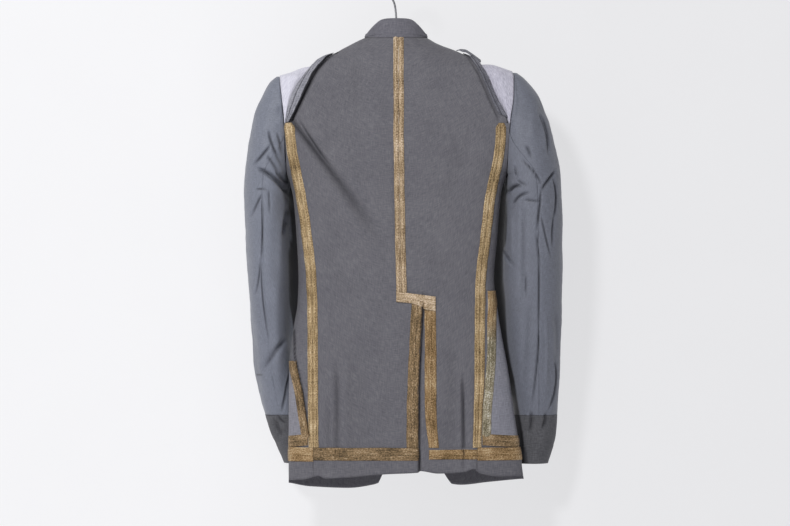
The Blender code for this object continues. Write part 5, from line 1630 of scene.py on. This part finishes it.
def strip_rows(left):
    """Two rows of stitches down the strip, inside both of its edges."""
    reach = 0.81
    w = np.linspace(-reach, reach, 140)
    made = []
    for share in STRIP_ROWS:
        x = strip_edge(w, left, lerp(STRIP_FROM, STRIP_TO, share))
        points = ridge_at(x, w, left)
        lifts = (strip_rise(w, share, left) + 0.25)[:, None]
        side = np.gradient(points, axis=0)
        off = ridge_at(x * 1.01, w, left) - points
        normal = unit(np.cross(side, off))
        away = points - np.array([SIGN[left] * 120.0, 0.0, -230.0])
        normal = normal * np.sign((normal * away).sum(axis=-1, keepdims=True))
        made.append(points + normal * lifts)
    return made


def make_stitching():
    paths = [on_back(shifted(centre_seam, by), -110.0, -520.0, 1.75) for by in (-6.6, 6.6)]
    for left in SIDES:
        for by in (6.8, -6.8):
            foot = -640.0 if by < 0 and not left else -780.0
            paths.append(on_back(shifted(BACK_SEAM[left], SIGN[left] * by), ARM_BACK - 4, foot, 1.7))
    paths.append(on_back(shifted(vent_left_from, 2.2), -550.0, -780.0, 1.7, flap_lift))
    paths.append(on_back(shifted(vent_right_to, -2.2), -550.0, -780.0, 1.7))
    paths.append(across_back(-134.0, 32.0, -801.0, 2.7, flap_lift))
    paths.append(across_back(56.0, 130.0, -799.5, 2.7))
    return [stitches("tape_stitches", paths, 3.0, 2.0, 0.28, GOLD_THREAD),
            stitches("strip_stitches", strip_rows(True) + strip_rows(False), 3.2, 2.3, 0.34,
                     GREY_THREAD)]


# What each finished piece stands for
def wear(piece, slot, *nodes):
    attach(piece, "root")
    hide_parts(*nodes)


NARROW = 0.0115
TURNED_UNDER = 0.003


def declare(piece):
    width, length, area = SHEETS[piece.name]
    if width < NARROW:
        # A binding this narrow is cut wider and has 1.5 mm turned under along each edge.
        area *= (width + TURNED_UNDER) / width
        width += TURNED_UNDER
    width = round(width, 4)
    length = round(length, 3)


PAIRED = (
    ("cloth", make_back),
    ("cloth", make_side),
    ("cloth", make_front),
    ("cloth", make_lapel),
    ("arm_strip", make_arm_strip),
    ("sleeve_lining", make_sleeve_top),
    ("sleeve_lining", make_sleeve_under),
    ("cuff_cloth", make_cuff),
)


def build_garment():
    pieces = []
    for left in SIDES:
        pieces += [(slot, make(left)) for slot, make in PAIRED]
        pieces += zip(("pocket_cloth", "gold_tape", "gold_tape"), make_pocket(left))
    pieces += [("cloth", make_collar()), ("arm_strip", make_loop())]
    tapes = make_centre_tapes() + [make_jog_tape()] + make_vent_tapes() + make_side_tapes()
    pieces += [("gold_tape", tape) for tape in tapes]
    for row in HEM_PIECES:
        pieces.append(("cloth" if row[-1] is WOOL else "gold_tape", make_hem_piece(*row)))
    for slot, piece in pieces:
        wear(piece, slot, piece.name.removesuffix(ENDING))
        declare(piece)
    for left in SIDES:
        pad = make_pad(left)
        wear(pad, "pad_felt", pad.name.removesuffix(ENDING))


def build_hardware():
    wear(make_hook(), "hook_wire", "hook")
    wear(make_ferrule(), "hook_wire", "ferrule")
    for number, z in ((1, -500.0), (2, -592.0)):
        wear(make_button(number, z), "button_horn", "button_%d" % number)
    for piece, slot in zip(make_stitching(), ("gold_tape", "arm_strip")):
        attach(piece, "root")
    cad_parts["hanger_body"].material_slots[0].material = WOOD


# Room, light and camera
WALL_Y = 0.146
FLOOR_Z = -1.02
PIXEL = 1.65
WIDTH = 790
CAMERA_X = -3.0
CAMERA_Z = -478.0
DISTANCE = 8000.0
BACK_Y = -40.0
SENSOR = 36.0
ROOM_SIDE = 3.0
ROOM_NEAR = -4.0


def plain_paint(name, colour):
    """Matt white emulsion: even, with a trace of roller mottle."""
    made, tree, shader = new_material(name, 0.95)
    coat(tree, shader, ramp(tree, clouds(tree, 6.0, 2.0), [(0.3, colour[0]), (0.7, colour[1])]))
    return made, tree, shader


def plane(name, near, far, top, shade):
    """A wall or a floor of the room, from its near lower edge to its far upper one."""
    corners = [(-ROOM_SIDE, near, FLOOR_Z), (ROOM_SIDE, near, FLOOR_Z), (ROOM_SIDE, far, top),
               (-ROOM_SIDE, far, top)]
    mesh = bpy.data.meshes.new(name)
    mesh.from_pydata(corners, [], [(0, 1, 2, 3)])
    mesh.update()
    link(name, mesh, shade)


def build_room():
    paint, tree, shader = plain_paint("wall_paint", ("#727274", "#747476"))
    # Painted light: the wall glows, brighter on the left than on the right, in place of the daylight of
    # the rest of the room, a share that no shadow takes away.
    spot = add(tree, "SeparateXYZ", Vector=add(tree, "TexCoord").outputs["Object"])
    painted_glow = scaled(tree, spot.outputs[0], -0.35, 0.35, 0.755, 0.665)
    shader.inputs["Emission Color"].default_value = (0.985, 0.985, 1.0, 1.0)
    tree.links.new(painted_glow, shader.inputs["Emission Strength"])
    # The wall shows from the room side alone, so that the other views look past it.
    behind = add(tree, "NewGeometry").outputs["Backfacing"]
    clear = add(tree, "BsdfTransparent").outputs[0]
    mixed = add(tree, "MixShader", n0=behind, n1=shader.outputs[0], n2=clear)
    tree.links.new(mixed.outputs[0], tree.nodes["Material Output"].inputs["Surface"])
    plane("wall", WALL_Y, WALL_Y, ROOM_SIDE, paint)
    floor_paint = plain_paint("floor_paint", ("#EEEEF1", "#F1F1F4"))[0]
    plane("floor", ROOM_NEAR, ROOM_SIDE, FLOOR_Z, floor_paint)


def area_light(name, place, target, size, power):
    data = bpy.data.lights.new(name, "AREA")
    data.shape = "DISK"
    data.size = size
    data.energy = power
    made = bpy.data.objects.new(name, data)
    made.location = place
    way = Vector(target) - Vector(place)
    made.rotation_euler = way.to_track_quat("-Z", "Y").to_euler()
    bpy.context.scene.collection.objects.link(made)


def build_light():
    world = bpy.data.worlds.new("studio")
    bpy.context.scene.world = world
    world.use_nodes = True
    ground = world.node_tree.nodes["Background"]
    ground.inputs["Color"].default_value = (1.0, 1.0, 1.0, 1.0)
    ground.inputs["Strength"].default_value = 0.25
    area_light("key", (-1.0, -3.0, 1.2), (0.0, 0.0, -0.45), 0.5, 80.0)
    bpy.context.scene.view_settings.view_transform = "Standard"


def build_camera():
    data = bpy.data.cameras.new("camera")
    data.sensor_width = SENSOR
    data.sensor_fit = "HORIZONTAL"
    data.lens = SENSOR * DISTANCE / (PIXEL * WIDTH)
    data.clip_start = 0.1
    data.clip_end = 60.0
    made = bpy.data.objects.new("camera", data)
    made.location = (CAMERA_X * MM, (BACK_Y - DISTANCE) * MM, CAMERA_Z * MM)
    made.rotation_euler = (PI / 2, 0.0, 0.0)
    bpy.context.scene.collection.objects.link(made)
    bpy.context.scene.camera = made


build_garment()
build_hardware()
build_room()
build_light()
build_camera()
